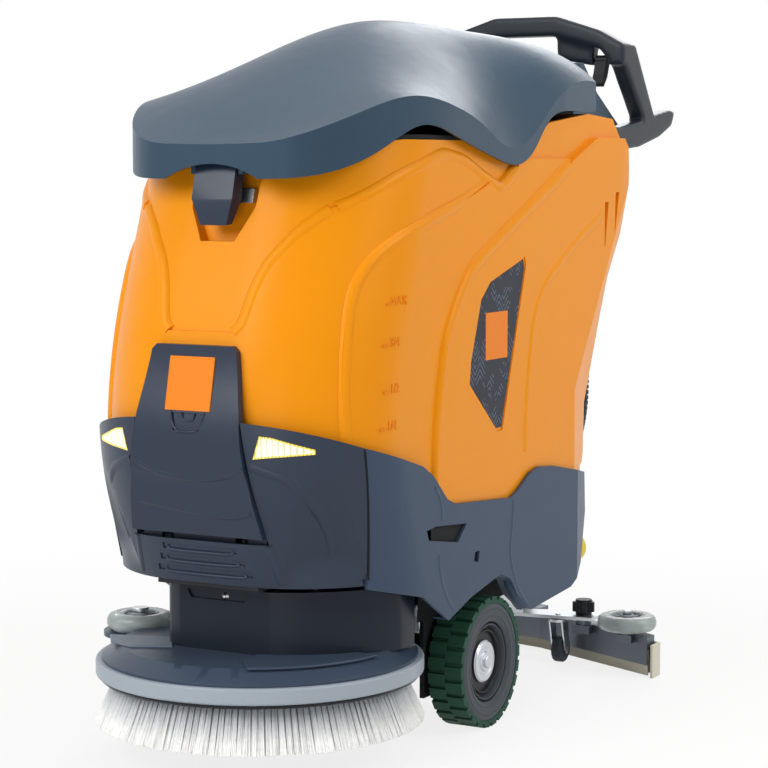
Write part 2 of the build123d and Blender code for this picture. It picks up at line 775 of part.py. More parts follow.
def tower_plan(inset, low, high):
    """Rounded motor tower, cut away on the side of the guide roller."""
    solid = post(0, TOWER_CENTRE, low, high, TOWER_RADIUS - inset)
    half = TOWER_HALF - inset
    solid &= block(-half, half, TOWER_FRONT + inset, TOWER_BACK - inset, low, high)
    shift = inset / math.cos(math.atan2(CUT_REAR[0] - CUT_FRONT[0], CUT_REAR[1] - CUT_FRONT[1]))
    near, far = CUT_FRONT[0] + shift, CUT_REAR[0] + shift
    slope = (far - near) / (CUT_REAR[1] - CUT_FRONT[1])
    ends = [(near + slope * (d - CUT_FRONT[1]), d) for d in (-300, 300)]
    return solid - plan_prism(ends + [(-400, 300), (-400, -300)], low, high)


def deck_housing():
    """Brush pan with its motor tower and the shelf of the guide roller."""
    inner = RING_RADIUS - RING_WALL - SEAT_GAP
    outline = [
        (30, PAN_TOP - PAN_WALL),
        (inner - 26, PAN_TOP - PAN_WALL),
        (inner - 5, RING_HIGH),
        (inner - 5, RING_LOW + 6),
        (inner, RING_LOW + 6),
        (inner, RING_HIGH),
        (inner + 7, RING_HIGH),
        (inner + 7, RING_HIGH + 4),
        (inner - 24, PAN_TOP),
        (30, PAN_TOP),
    ]
    deck = revolve_at(outline, 0, 0)
    tower = tower_plan(0, PAN_TOP - 2, TOWER_TOP)
    tower -= tower_plan(TOWER_WALL, PAN_TOP - 4, TOWER_TOP - TOWER_WALL)
    deck -= post(ROLLER_X, ROLLER_D, ROLLER_SHELF - 8, PAN_TOP + 1, ROLLER_RADIUS + 4)
    shelf = post(ROLLER_X, ROLLER_D, ROLLER_SHELF - 8, ROLLER_SHELF, ROLLER_RADIUS + 5)
    deck = deck + tower + shelf
    hole = ROLLER_PIN_RADIUS + RUN_FIT
    return deck - post(ROLLER_X, ROLLER_D, ROLLER_SHELF - 20, ROLLER_SHELF + 1, hole)


def bumper_ring():
    ring = post(0, 0, RING_LOW, RING_HIGH, RING_RADIUS)
    ring -= post(0, 0, RING_LOW, RING_HIGH, RING_RADIUS - RING_WALL)
    rims = [edge for edge in ring.edges() if edge.length > 2 * math.pi * (RING_RADIUS - 1)]
    return fillet(rims, 4)


def brush_motor():
    motor = post(0, 0, PAN_TOP, MOTOR_TOP, MOTOR_RADIUS) + post(0, 0, PAN_TOP, PAN_TOP + 8, MOTOR_RADIUS + 10)
    return motor - post(0, 0, PAN_TOP, MOTOR_TOP - 20, SPINDLE_RADIUS + RUN_FIT)


def brush_backing():
    """Brush disc with its coupling and drive shaft."""
    low = BRISTLE_ROOT_Z + BACKING_SLICE
    disc = post(0, 0, low, BACKING_TOP, BACKING_RADIUS) + post(0, 0, BACKING_TOP - 1, BACKING_TOP + 14, 46)
    return disc + post(0, 0, BACKING_TOP, MOTOR_TOP - 24, SPINDLE_RADIUS)


def brush_bristles():
    """Rows of leaning strands standing on a thin slice of the backing."""
    low, high = BRISTLE_ROOT_Z, BRISTLE_ROOT_Z + BACKING_SLICE
    base = post(0, 0, low, high, BACKING_RADIUS) - post(0, 0, low, high, BRISTLE_ROOT_RADIUS - 90)
    tip_z = DECK_TRAVEL
    strands = []
    for row, count in enumerate(BRISTLE_ROWS):
        root = BRISTLE_ROOT_RADIUS - BRISTLE_SIDE / 2 - 18 * row
        tip = root + (BRUSH_RADIUS - BRISTLE_ROOT_RADIUS) * (1 - row / len(BRISTLE_ROWS))
        run = Vector(tip - root, 0, tip_z - low - 2)
        corners = [Vector(root + r, y, low + 2) for r, y in ((4, 0), (-3, 4), (-3, -4))]
        edges = [Edge.make_line(a, b) for a, b in zip(corners, corners[1:] + corners[:1])]
        strand = extrude(Face(Wire(edges)), amount=run.length, dir=run.normalized())
        for step in range(count):
            strands.append(Pos(0, at(0), 0) * Rot(0, 0, 360 * (step + row / 2) / count) * strand)
    trim = block(-300, 300, -300, 300, tip_z, high)
    return base.fuse(*[solid & trim for solid in strands])


def lift_posts():
    """Guide posts and the actuator's rod, standing on the tower."""
    posts = pair(post(POST_X, POST_D, TOWER_TOP, POST_TOP, POST_RADIUS))
    drive = post(0, ACTUATOR_D, TOWER_TOP, POST_TOP - 2, LIFT_ROD_RADIUS)
    return Compound(children=[*posts.solids(), *drive.solids()])


def lift_actuator():
    low = FLOOR_Z + 74
    body = post(0, ACTUATOR_D, low, low + 124, ACTUATOR_RADIUS) + post(36, ACTUATOR_D, low, low + 80, 16)
    body += block(0, 36, ACTUATOR_D - 10, ACTUATOR_D + 10, low, low + 30)
    return body - post(0, ACTUATOR_D, low, low + 118, LIFT_ROD_RADIUS + RUN_FIT)


def deck_screws():
    """Cap screws on top of the motor tower."""
    spots = ((-60, -92), (60, -92), (-150, 60), (150, 60))
    heads = [post(x, d, TOWER_TOP, TOWER_TOP + 4, 7) for x, d in spots]
    return Compound(children=[head for head in heads])


def guide_roller():
    low = ROLLER_SHELF + SIDE_CLEAR
    roller = post(ROLLER_X, ROLLER_D, low, low + ROLLER_THICK, ROLLER_RADIUS)
    roller = fillet(roller.edges(), 5)
    return roller - post(ROLLER_X, ROLLER_D, low, low + ROLLER_THICK, ROLLER_PIN_RADIUS + RUN_FIT)


def roller_pin():
    top = ROLLER_SHELF + ROLLER_THICK + 2 * SIDE_CLEAR
    pin = post(ROLLER_X, ROLLER_D, ROLLER_SHELF - 8, top, ROLLER_PIN_RADIUS)
    return pin + post(ROLLER_X, ROLLER_D, top, top + 6, ROLLER_PIN_RADIUS + 6)


def wheel_turned(points):
    """Turned wheel piece: (radius, x) outline spun about the wheel axis."""
    places = [Vector(x, at(WHEEL_D) + r, WHEEL_RADIUS) for r, x in points]
    edges = [Edge.make_line(a, b) for a, b in zip(places, places[1:] + places[:1])]
    axis = Axis((0, at(WHEEL_D), WHEEL_RADIUS), (1, 0, 0))
    return revolve(Face(Wire(edges)), axis=axis)


def tyre():
    """Tyre with two staggered rows of tread blocks."""
    floor = WHEEL_RADIUS - TREAD_DEPTH
    inner = [(RIM_RADIUS, WHEEL_INNER), (floor, WHEEL_INNER)]
    ring = wheel_turned(inner + [(floor, WHEEL_OUTER), (RIM_RADIUS, WHEEL_OUTER)])
    half = (WHEEL_OUTER - WHEEL_INNER) / 2
    chord = 2 * WHEEL_RADIUS * math.sin(math.pi / TREAD_BLOCKS) * 0.72
    blocks = []
    for step in range(2 * TREAD_BLOCKS):
        x = WHEEL_INNER + half / 2 + (step % 2) * half
        turn = 180 + 180 * step / TREAD_BLOCKS
        lug = Pos(x, 0, WHEEL_RADIUS - TREAD_DEPTH) * Box(half, chord, 2 * TREAD_DEPTH)
        blocks.append(Pos(0, at(WHEEL_D), WHEEL_RADIUS) * Rot(turn, 0, 0) * lug)
    return ring.fuse(*blocks)


def rim():
    back, face = WHEEL_INNER + 2, WHEEL_OUTER - 2
    outline = [
        (AXLE_RADIUS, back + 24),
        (AXLE_RADIUS, face - 14),
        (HUB_RADIUS + 2, face - 14),
        (58, face - 14),
        (70, face - 7),
        (84, face - 6),
        (86, face - 1),
        (RIM_RADIUS, face),
        (RIM_RADIUS, back),
        (88, back),
        (88, face - 20),
        (60, face - 24),
        (40, face - 24),
        (40, back + 24),
    ]
    return wheel_turned(outline)


def wheel_axle():
    """Drive shaft with hub disc and hexagon bolt."""
    face = WHEEL_OUTER - 16
    axle = rod(WHEEL_D, WHEEL_RADIUS, AXLE_INNER, face, AXLE_RADIUS)
    axle += rod(WHEEL_D, WHEEL_RADIUS, face, face + 4, HUB_RADIUS)
    head = extrude(RegularPolygon(11, 6), amount=8)
    return axle + Pos(face + 4, at(WHEEL_D), WHEEL_RADIUS) * Rot(0, 90, 0) * head


def transaxle():
    """Gear motor across the frame, carrying both drive shafts."""
    body = rod(WHEEL_D, WHEEL_RADIUS, -AXLE_PLATE_X, AXLE_PLATE_X, GEAR_RADIUS - 10)
    body += rod(WHEEL_D, WHEEL_RADIUS, -70, 50, GEAR_RADIUS)
    body += block(-40, 40, WHEEL_D, WHEEL_D + 110, WHEEL_RADIUS - 30, WHEEL_RADIUS + 30)
    bore = rod(WHEEL_D, WHEEL_RADIUS, AXLE_INNER - 2, AXLE_PLATE_X, AXLE_RADIUS + RUN_FIT)
    return body - bore - flip(bore)


def chassis_frame():
    """Welded frame: floor plate, axle plates, front tongue, tank rests and rear brackets."""
    floor_top = FLOOR_Z + PLATE_THICK
    tongue_top = FLOOR_Z + 74
    front = TOWER_BACK + 15
    frame = block(-FRAME_HALF, FRAME_HALF, front, 640, FLOOR_Z, floor_top)
    frame += block(-TONGUE_HALF, TONGUE_HALF, front, front + PLATE_THICK, FLOOR_Z, tongue_top)
    frame += block(-TONGUE_HALF, TONGUE_HALF, -100, front + PLATE_THICK, tongue_top - PLATE_THICK, tongue_top)
    frame += block(-90, 90, -BASE_FRONT_FOOT + 2, -95, tongue_top - PLATE_THICK, tongue_top)
    wall = BASE_HALF - BASE_WALL
    frame += block(-wall, wall, front, front + 24, tongue_top - 26, tongue_top)
    side = block(FRAME_HALF - 20, wall, 470, 500, FLOOR_Z, floor_top + 24)
    plate = block(AXLE_PLATE_X, AXLE_PLATE_X + AXLE_PLATE_THICK, 205, 400, 60, floor_top)
    plate -= rod(WHEEL_D, WHEEL_RADIUS, 160, 190, AXLE_RADIUS + SIDE_CLEAR)
    for d in (165, 385):
        plate += block(150, 170, d, d + 20, floor_top - 1, TANK_FLOOR)
    low = CASTOR_TOP
    mount = block(CASTOR_X - 28, CASTOR_X + 28, CASTOR_D - 26, CASTOR_D + 26, low, low + 8)
    mount += block(CASTOR_X - 28, CASTOR_X - 22, CASTOR_D - 26, CASTOR_D + 26, low, FLOOR_Z + 1)
    mount += block(CASTOR_X + 22, CASTOR_X + 28, CASTOR_D - 26, CASTOR_D + 26, low, FLOOR_Z + 1)
    mount -= post(CASTOR_X, CASTOR_D, low - 1, low + 9, CASTOR_PIN_RADIUS + RUN_FIT)
    d, z = SQUEEGEE_PIVOT
    lug = block(CARRIER_ARM_X - 12, CARRIER_ARM_X - 4 - SIDE_CLEAR, d - 20, d + 15, z - 14, FLOOR_Z + 1)
    cheek = CARRIER_ARM_X - 4 - SIDE_CLEAR
    lug += block(CARRIER_ARM_X - 12, cheek, d - 45, d + 15, FLOOR_Z - 20, FLOOR_Z + 1)
    lug -= rod(d, z, 20, 60, PIVOT_RADIUS + RUN_FIT)
    for part in (side, plate, mount, lug):
        frame = frame + part + flip(part)
    for x in (-POST_X, POST_X):
        frame += post(x, POST_D, tongue_top - 1, tongue_top + 40, POST_RADIUS + 6)
        frame -= post(x, POST_D, tongue_top - 10, tongue_top + 41, POST_RADIUS + RUN_FIT)
    return frame - post(0, ACTUATOR_D, tongue_top - 10, tongue_top, LIFT_ROD_RADIUS + SIDE_CLEAR)


def battery_pack():
    """Two battery blocks with a carrying strap ridge on top."""
    low = FLOOR_Z + PLATE_THICK
    pack = block(1, BATTERY_HALF, 190, 530, low, TANK_FLOOR - 14)
    pack += block(40, 60, 215, 505, TANK_FLOOR - 14, TANK_FLOOR - 8)
    pack += post(100, 225, TANK_FLOOR - 14, TANK_FLOOR - 6, 9)
    pack += post(100, 495, TANK_FLOOR - 14, TANK_FLOOR - 6, 9)
    return pair(pack)


def vacuum_motor():
    low = FLOOR_Z + PLATE_THICK
    motor = post(0, VACUUM_D, low, low + 60, VACUUM_RADIUS)
    return motor + post(0, VACUUM_D, low + 60, low + 118, VACUUM_RADIUS - 14)


def solution_filter():
    """Filter bowl reached through the front hatch."""
    low = FLOOR_Z + 74
    return post(56, -92, low, low + 70, 26) + post(56, -92, low + 70, low + 92, 32)


def castor_fork(x, d, top, radius, width, trail, pin, plate):
    """Swivelling fork with its kingpin and wheel axle."""
    half = width / 2 + 2
    crown = top - plate
    fork = post(x, d, crown, top - SIDE_CLEAR, half + 6) + post(x, d, top - SIDE_CLEAR, top + 8, pin)
    outline = [(d - half, crown + 1), (d + half + 4, crown + 1)]
    outline += [(d + trail + 9, radius), (d + trail, radius - 10)]
    outline += [(d + trail - 9, radius)]
    for low in (x - half - 3, x + half):
        fork += side_plate(outline, low, low + 3)
    return fork + rod(d + trail, radius, x - half - 3, x + half + 3, 4)


def castor_wheel(x, d, radius, width, trail):
    wheel = rod(d + trail, radius, x - width / 2, x + width / 2, radius)
    return wheel - rod(d + trail, radius, x - width / 2, x + width / 2, 4 + RUN_FIT)


def rear_fork():
    args = CASTOR_RADIUS, CASTOR_WIDTH, CASTOR_TRAIL, CASTOR_PIN_RADIUS, 8
    return castor_fork(CASTOR_X, CASTOR_D, CASTOR_TOP, *args)


def rear_wheel():
    return castor_wheel(CASTOR_X, CASTOR_D, CASTOR_RADIUS, CASTOR_WIDTH, CASTOR_TRAIL)


def vee_band(near, far, half, low, high):
    """Swept band between two depths ahead of the rear blade line."""
    tail = SQUEEGEE_SWEEP * half
    rear = [(half, SQUEEGEE_APEX - near - tail), (60, SQUEEGEE_APEX - near - SQUEEGEE_SWEEP * 60)]
    front = [(60, SQUEEGEE_APEX - far - SQUEEGEE_SWEEP * 60), (half, SQUEEGEE_APEX - far - tail)]
    bow = 0.5 * SQUEEGEE_SWEEP * 60
    rear_mid = (0, SQUEEGEE_APEX - near - bow)
    front_mid = (0, SQUEEGEE_APEX - far - bow)
    outline = rear + [rear_mid] + [(-x, d) for x, d in reversed(rear)]
    outline += [(-x, d) for x, d in reversed(front)] + [front_mid] + front
    return plan_prism(outline, low, high)


def squeegee_bar():
    """Cast bar with knob lugs, roller posts and the suction chamber."""
    bar = vee_band(BLADE_THICK, BLADE_THICK + BAR_THICK, SQUEEGEE_HALF - 12, BAR_LOW, BAR_HIGH)
    lip = 2 * BLADE_THICK + BAR_THICK
    bar += vee_band(BLADE_THICK, lip + CLAMP_THICK, SQUEEGEE_HALF - 12, FRONT_BLADE_HIGH, BAR_HIGH)
    bar += vee_band(lip, lip + CLAMP_THICK, SQUEEGEE_HALF - 12, CLAMP_LOW, BAR_HIGH)
    chamber = block(-62, 62, NOZZLE_D - 34, NOZZLE_D + 34, FRONT_BLADE_HIGH + 2, BAR_HIGH + 8)
    bar += chamber & vee_band(BLADE_THICK, 90, 80, 0, 200)
    lug = block(KNOB_X - 16, KNOB_X + 18, KNOB_D - 16, KNOB_D + 22, BAR_HIGH - 16, BAR_HIGH)
    lug += post(KNOB_X, KNOB_D, BAR_HIGH - 16, CARRIER_Z, 14)
    lug -= post(KNOB_X, KNOB_D, BAR_HIGH - 16, CARRIER_Z, 5 + RUN_FIT)
    left, right = END_ROLLER_X - 14, END_ROLLER_X + 14
    lug += block(left, right, END_ROLLER_D - 14, END_ROLLER_D + 24, BAR_HIGH - 14, BAR_HIGH)
    lug += post(END_ROLLER_X, END_ROLLER_D, BAR_HIGH - 1, END_ROLLER_LOW - SIDE_CLEAR, 14)
    lug += post(END_ROLLER_X, END_ROLLER_D, BAR_HIGH - 1, END_ROLLER_HIGH + SIDE_CLEAR, 7)
    bar = bar + lug + flip(lug)
    bar += suction_nozzle()
    return bar - post(0, NOZZLE_D, BAR_LOW, NOZZLE_TOP + NIPPLE, HOSE_BORE - 4)


def suction_nozzle():
    """Hose socket on the suction chamber."""
    low = BAR_HIGH + 8
    nozzle = post(0, NOZZLE_D, low, low + 6, HOSE_RADIUS + 6)
    nozzle += post(0, NOZZLE_D, low, NOZZLE_TOP, HOSE_RADIUS)
    return nozzle + post(0, NOZZLE_D, NOZZLE_TOP - 1, NOZZLE_TOP + NIPPLE, HOSE_BORE - SEAT_GAP)


def rear_blade():
    """Rear wiping blade, turned in around both ends of the bar."""
    blade = vee_band(0, BLADE_THICK, SQUEEGEE_HALF, 0, BLADE_HIGH)
    tail = SQUEEGEE_APEX - SQUEEGEE_SWEEP * SQUEEGEE_HALF
    head = tail - BAR_THICK - 2 * BLADE_THICK
    end = block(SQUEEGEE_HALF - BLADE_THICK, SQUEEGEE_HALF, head, tail, 0, BLADE_HIGH)
    return blade + end + flip(end)


def front_blade():
    far = BLADE_THICK + BAR_THICK
    return vee_band(far, far + BLADE_THICK, SQUEEGEE_HALF - 12, 3, FRONT_BLADE_HIGH)


def squeegee_carrier():
    """Steel carrier from the frame pivot to the knobs of the bar."""
    d, z = SQUEEGEE_PIVOT
    top = CARRIER_Z + PLATE_THICK
    wing = [(0, 786), (60, 786), (206, 806), (206, 858), (150, 858), (50, 830), (0, 830)]
    plate = plan_prism(wing, CARRIER_Z, top)
    arm = [(d - 14, z - 10), (d + 4, z - 16), (790, CARRIER_Z)]
    arm += [(824, CARRIER_Z), (824, top + 10), (d + 10, z + 14)]
    arm += [(d - 10, z + 12)]
    plate += side_plate(arm, CARRIER_ARM_X - 4, CARRIER_ARM_X + 4)
    plate += rod(d, z, CARRIER_ARM_X - 14, CARRIER_ARM_X + 4, PIVOT_RADIUS)
    plate -= post(KNOB_X, KNOB_D, CARRIER_Z, top, 5 + SIDE_CLEAR)
    plate -= post(SMALL_CASTOR_X, SMALL_CASTOR_D, CARRIER_Z, top, 5 + RUN_FIT)
    return plate + flip(plate)


def star_knob():
    """Clamping knob with five lobes and its screw."""
    low = CARRIER_Z + PLATE_THICK
    knob = post(KNOB_X, KNOB_D, low, low + 28, KNOB_RADIUS - 6)
    for step in range(5):
        turn = math.radians(72 * step)
        x, d = KNOB_X + math.cos(turn) * 13, KNOB_D + math.sin(turn) * 13
        knob += post(x, d, low + 6, low + 24, KNOB_RADIUS - 13)
    return knob + post(KNOB_X, KNOB_D, BAR_HIGH - 14, low + 1, 5)


def small_fork():
    top = CARRIER_Z
    args = (SMALL_WHEEL_RADIUS, SMALL_WHEEL_WIDTH, SMALL_TRAIL, 5, 6)
    return castor_fork(SMALL_CASTOR_X, SMALL_CASTOR_D, top, *args)


def small_wheel():
    return castor_wheel(SMALL_CASTOR_X, SMALL_CASTOR_D, SMALL_WHEEL_RADIUS, SMALL_WHEEL_WIDTH, SMALL_TRAIL)


def end_roller():
    roller = post(END_ROLLER_X, END_ROLLER_D, END_ROLLER_LOW, END_ROLLER_HIGH, END_ROLLER_RADIUS)
    roller = fillet(roller.edges(), 5)
    return roller - post(END_ROLLER_X, END_ROLLER_D, END_ROLLER_LOW, END_ROLLER_HIGH, 7 + RUN_FIT)


def hose_spigot():
    """Hose socket under the tank's rear overhang."""
    spigot = post(SPIGOT_X, SPIGOT_D, SPIGOT_END, 800, HOSE_RADIUS + 4) - tank_solid(TANK_HALF)
    spigot += post(SPIGOT_X, SPIGOT_D, SPIGOT_END - NIPPLE, SPIGOT_END + 1, HOSE_BORE - SEAT_GAP)
    return spigot - post(SPIGOT_X, SPIGOT_D, SPIGOT_END - NIPPLE, 800, HOSE_BORE - 4)


def hose_path():
    """Centre line of the hose: straight out of both sockets, with a double bend between."""
    top = Vector(SPIGOT_X, at(SPIGOT_D), SPIGOT_END)
    foot = Vector(0, at(NOZZLE_D), NOZZLE_TOP)
    aside = math.hypot(SPIGOT_X, NOZZLE_D - SPIGOT_D)
    drop = 2 * math.sqrt(HOSE_BEND * aside - aside**2 / 4)
    low = foot + Vector(0, 0, 2 * HOSE_RADIUS)
    high = Vector(top.X, top.Y, low.Z + drop)
    first = Edge.make_tangent_arc(high, Vector(0, 0, -1), (low + high) / 2)
    second = Edge.make_tangent_arc((low + high) / 2, first.tangent_at(1), low)
    return [Edge.make_line(top, high), first, second, Edge.make_line(low, foot)]


def hose_rings(radii_at, count):
    """Circles along the hose; radii_at gives the radius for each ring number."""
    runs = hose_path()
    total = sum(run.length for run in runs)
    rings = []
    for number in range(count + 1):
        left = total * number / count
        run = runs[0]
        for run in runs:
            if left <= run.length + 1e-6:
                break
            left -= run.length
        share = min(left / run.length, 1.0)
        place = run.position_at(share)
        heading = run.tangent_at(share)
        across = Vector(1, 0, 0) - heading * heading.X
        plane = Plane(origin=place, x_dir=across, z_dir=heading)
        rings.append(Wire.make_circle(radii_at(number), plane))
    return rings


def suction_hose():
    """Ribbed hose with a smooth bore, closed by a flat ring at each end."""
    low = HOSE_RADIUS - HOSE_RIB
    ribs = hose_rings(lambda number: (low, HOSE_RADIUS, HOSE_RADIUS, low)[number % 4], 4 * HOSE_RIBS)
    bore = hose_rings(lambda number: HOSE_BORE, HOSE_RIBS)
    ends = [Face(ribs[end], [bore[end]]) for end in (0, -1)]
    skin = [*Shell.make_loft(ribs, True).faces(), *Shell.make_loft(bore, True).faces()]
    return Solid(Shell(skin + ends))


def drain_neck():
    tube = spout(DRAIN_X, DRAIN_Z, 630, DRAIN_END, DRAIN_RADIUS)
    return tube - spout(DRAIN_X, DRAIN_Z, 634, DRAIN_END, DRAIN_RADIUS - 4)


def drain_cap():
    """Turning cap with grip lobes."""
    cap = spout(DRAIN_X, DRAIN_Z, DRAIN_END, DRAIN_END + 18, DRAIN_CAP_RADIUS)
    cap += block(DRAIN_X - 4, DRAIN_X + 4, DRAIN_END + 17, DRAIN_END + 26, DRAIN_Z - 20, DRAIN_Z + 20)
    return cap + spout(DRAIN_X, DRAIN_Z, DRAIN_END - 12, DRAIN_END, DRAIN_RADIUS - 4 - RUN_FIT)


def console_face():
    """Side outline of the console: rear shoulder seat, control slopes and underside."""
    points = [
        (800, shoulder_z(800)),
        SHOULDER_B,
        SHOULDER_C,
        (884, 938),
        (936, 941),
        (1004, 966),
        CONSOLE_TOE,
        CONSOLE_RIDGE,
        CONSOLE_PEAK,
        (828, 1097),
        (826, 1074),
        (804, 1062),
    ]
    return Face(Wire(side_line(*points, points[0])))


def on_slope(low, high, share, x):
    """Frame standing square on a console slope, a share of the way from low to high."""
    d = low[0] + share * (high[0] - low[0])
    z = low[1] + share * (high[1] - low[1])
    lift = Vector(0, low[1] - high[1], high[0] - low[0])
    lift = lift if lift.Z > 0 else lift * -1
    return Plane(origin=(x, at(d), z), x_dir=(1, 0, 0), z_dir=lift)


def keypad(x):
    return on_slope(CONSOLE_TOE, CONSOLE_RIDGE, 0.55, x)


def console_housing():
    outer = extrude(console_face(), amount=CONSOLE_HALF, dir=(1, 0, 0), both=True)
    inner = offset(console_face(), amount=-CONSOLE_WALL)
    outer -= extrude(inner, amount=CONSOLE_HALF - CONSOLE_WALL, dir=(1, 0, 0), both=True)
    for x in (-BUTTON_X, BUTTON_X):
        outer -= keypad(x) * Cylinder(BUTTON_RADIUS + SEAT_GAP, 30)
    return outer - keypad(-KEY_X) * Cylinder(8 + RUN_FIT, 30)


def console_display():
    """Blank display panel on the upper slope."""
    panel = Box(150, 56, 2)
    return on_slope(CONSOLE_RIDGE, CONSOLE_PEAK, 0.5, 0) * Pos(0, 0, 1) * panel


def push_button(x):
    """Round button with a stop flange under the console skin."""
    cap = Pos(0, 0, -2) * Cylinder(BUTTON_RADIUS, 14)
    flange = Pos(0, 0, -CONSOLE_WALL - 3) * Cylinder(BUTTON_RADIUS + 2, 6)
    return keypad(x) * (cap + flange)


def key_switch():
    barrel = Pos(0, 0, -2) * Cylinder(8, 14) + Pos(0, 0, 3) * Cylinder(12, 5)
    return keypad(-KEY_X) * (barrel + Pos(0, 0, 15) * Box(4, 22, 22))


def handle_frame():
    """Rear handle: lower horns, rising side arms and a bowed crossbar."""
    low, high = HANDLE_X - HANDLE_WIDE / 2, HANDLE_X + HANDLE_WIDE / 2
    horn = [(884, 940), (940, 942), (1026, 948), (1123, 968), (1183, 990), (REAR_REACH, 1016), (1180, 1022)]
    horn += [(1097, 1010), (1012, 995), (940, 985), (884, 985)]
    arm = [(950, 1098), (950, 1136), (1000, 1139), (1094, 1010), (1044, 998)]
    side = side_plate(horn, low, high) + side_plate(arm, low, high)
    side += block(CONSOLE_HALF, low, 890, 936, 942, 984)
    grip = CROSSBAR_TOP - CROSSBAR_TALL
    top = [(high, 1098), (high, 1136), (150, 1164), (64, CROSSBAR_TOP)]
    under = [(64, grip), (150, 1130), (low, 1108), (low, 1098)]
    outline = top + [(-x, z) for x, z in reversed(top)] + [(-x, z) for x, z in reversed(under)] + under
    frame = front_prism(outline, 938, 980) + side + flip(side)
    switches = switch_block()
    return frame + switches + flip(switches)


def switch_block():
    """Switch housing under the crossbar, carrying a trigger's pin."""
    grip = CROSSBAR_TOP - CROSSBAR_TALL
    outer = TRIGGER_LOW - 2
    edge = grip + (outer - 64) * (1130 - grip) / (150 - 64)
    front = [(62, grip), (64, grip), (outer, edge), (outer, 1098), (70, 1110), (62, 1122)]
    body = front_prism(front, 946, 978)
    return body - rod(*TRIGGER_PIN, outer - 20, outer + 1, TRIGGER_PIN_RADIUS + RUN_FIT)


def trigger():
    """Finger lever hanging below the crossbar on its own pin."""
    d, z = TRIGGER_PIN
    blade = [(d - 9, z - 2), (d + 9, z - 4), (d - 2, z - 32)]
    blade += [(d - 18, z - 50), (d - 28, z - 44), (d - 17, z - 26)]
    lever = rod(d, z, TRIGGER_LOW, TRIGGER_HIGH, 9) + side_plate(blade, TRIGGER_LOW, TRIGGER_HIGH)
    return lever + rod(d, z, TRIGGER_LOW - 20, TRIGGER_LOW + 1, TRIGGER_PIN_RADIUS)


PARTS = {}
SHELL = covers()
PARTS["chassis_frame"] = chassis_frame()
PARTS["base_front_cover"] = front_cover(SHELL)
PARTS["base_shell"] = base_shell(SHELL)
PARTS["headlights"] = pair(headlight())
PARTS["front_hatch"] = front_hatch()
pin_end = ARM_X + ARM_WIDE / 2 + SIDE_CLEAR + 6
PARTS["hatch_pins"] = pair(rod(*HATCH_PIN, ARM_X - ARM_WIDE / 2, pin_end, HATCH_PIN_RADIUS))
PARTS["solution_tank"] = solution_tank()
PARTS["recovery_tank"] = recovery_tank()
PARTS["lid_gasket"] = lid_gasket()
PARTS["lid"] = lid()
PARTS["hinge_pins"] = hinge_pins()
PARTS["lid_latch"] = lid_latch()
PARTS["latch_pin"] = rod(*LATCH_PIN, -LATCH_HALF - 10, LATCH_HALF + 10, LATCH_PIN_RADIUS)
PARTS["latch_striker"] = latch_striker()
PARTS["battery_pack"] = battery_pack()
PARTS["vacuum_motor"] = vacuum_motor()
PARTS["solution_filter"] = solution_filter()
PARTS["transaxle"] = transaxle()
for name, make in (("tyre", tyre), ("rim", rim), ("wheel_axle", wheel_axle)):
    PARTS[f"{name}_left"] = make()
    PARTS[f"{name}_right"] = flip(PARTS[f"{name}_left"])
for name, make in (("rear_fork", rear_fork), ("rear_castor_wheel", rear_wheel)):
    PARTS[f"{name}_left"] = make()
    PARTS[f"{name}_right"] = flip(PARTS[f"{name}_left"])
PARTS["deck_housing"] = deck_housing()
PARTS["bumper_ring"] = bumper_ring()
PARTS["brush_motor"] = brush_motor()
PARTS["brush_backing"] = brush_backing()
PARTS["brush_bristles"] = brush_bristles()
PARTS["lift_posts"] = lift_posts()
PARTS["lift_actuator"] = lift_actuator()
PARTS["deck_screws"] = deck_screws()
PARTS["guide_roller"] = guide_roller()
PARTS["roller_pin"] = roller_pin()
PARTS["squeegee_carrier"] = squeegee_carrier()
PARTS["squeegee_bar"] = squeegee_bar()
PARTS["rear_blade"] = rear_blade()
PARTS["front_blade"] = front_blade()
for name, make in (
    ("star_knob", star_knob),
    ("small_fork", small_fork),
    ("small_wheel", small_wheel),
    ("end_roller", end_roller),
):
    PARTS[f"{name}_left"] = make()
    PARTS[f"{name}_right"] = flip(PARTS[f"{name}_left"])
PARTS["suction_hose"] = suction_hose()
PARTS["drain_cap"] = drain_cap()
PARTS["console_housing"] = console_housing()
PARTS["console_display"] = console_display()
PARTS["button_left"] = push_button(BUTTON_X)
PARTS["button_right"] = push_button(-BUTTON_X)
PARTS["key_switch"] = key_switch()
PARTS["handle_frame"] = handle_frame()
PARTS["trigger_left"] = trigger()
PARTS["trigger_right"] = flip(PARTS["trigger_left"])

os.makedirs("parts", exist_ok=True)
for name, solid in PARTS.items():
    export_step(solid, f"parts/{name}.step")
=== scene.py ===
import json
import math
import bpy
from mathutils import Matrix, Vector


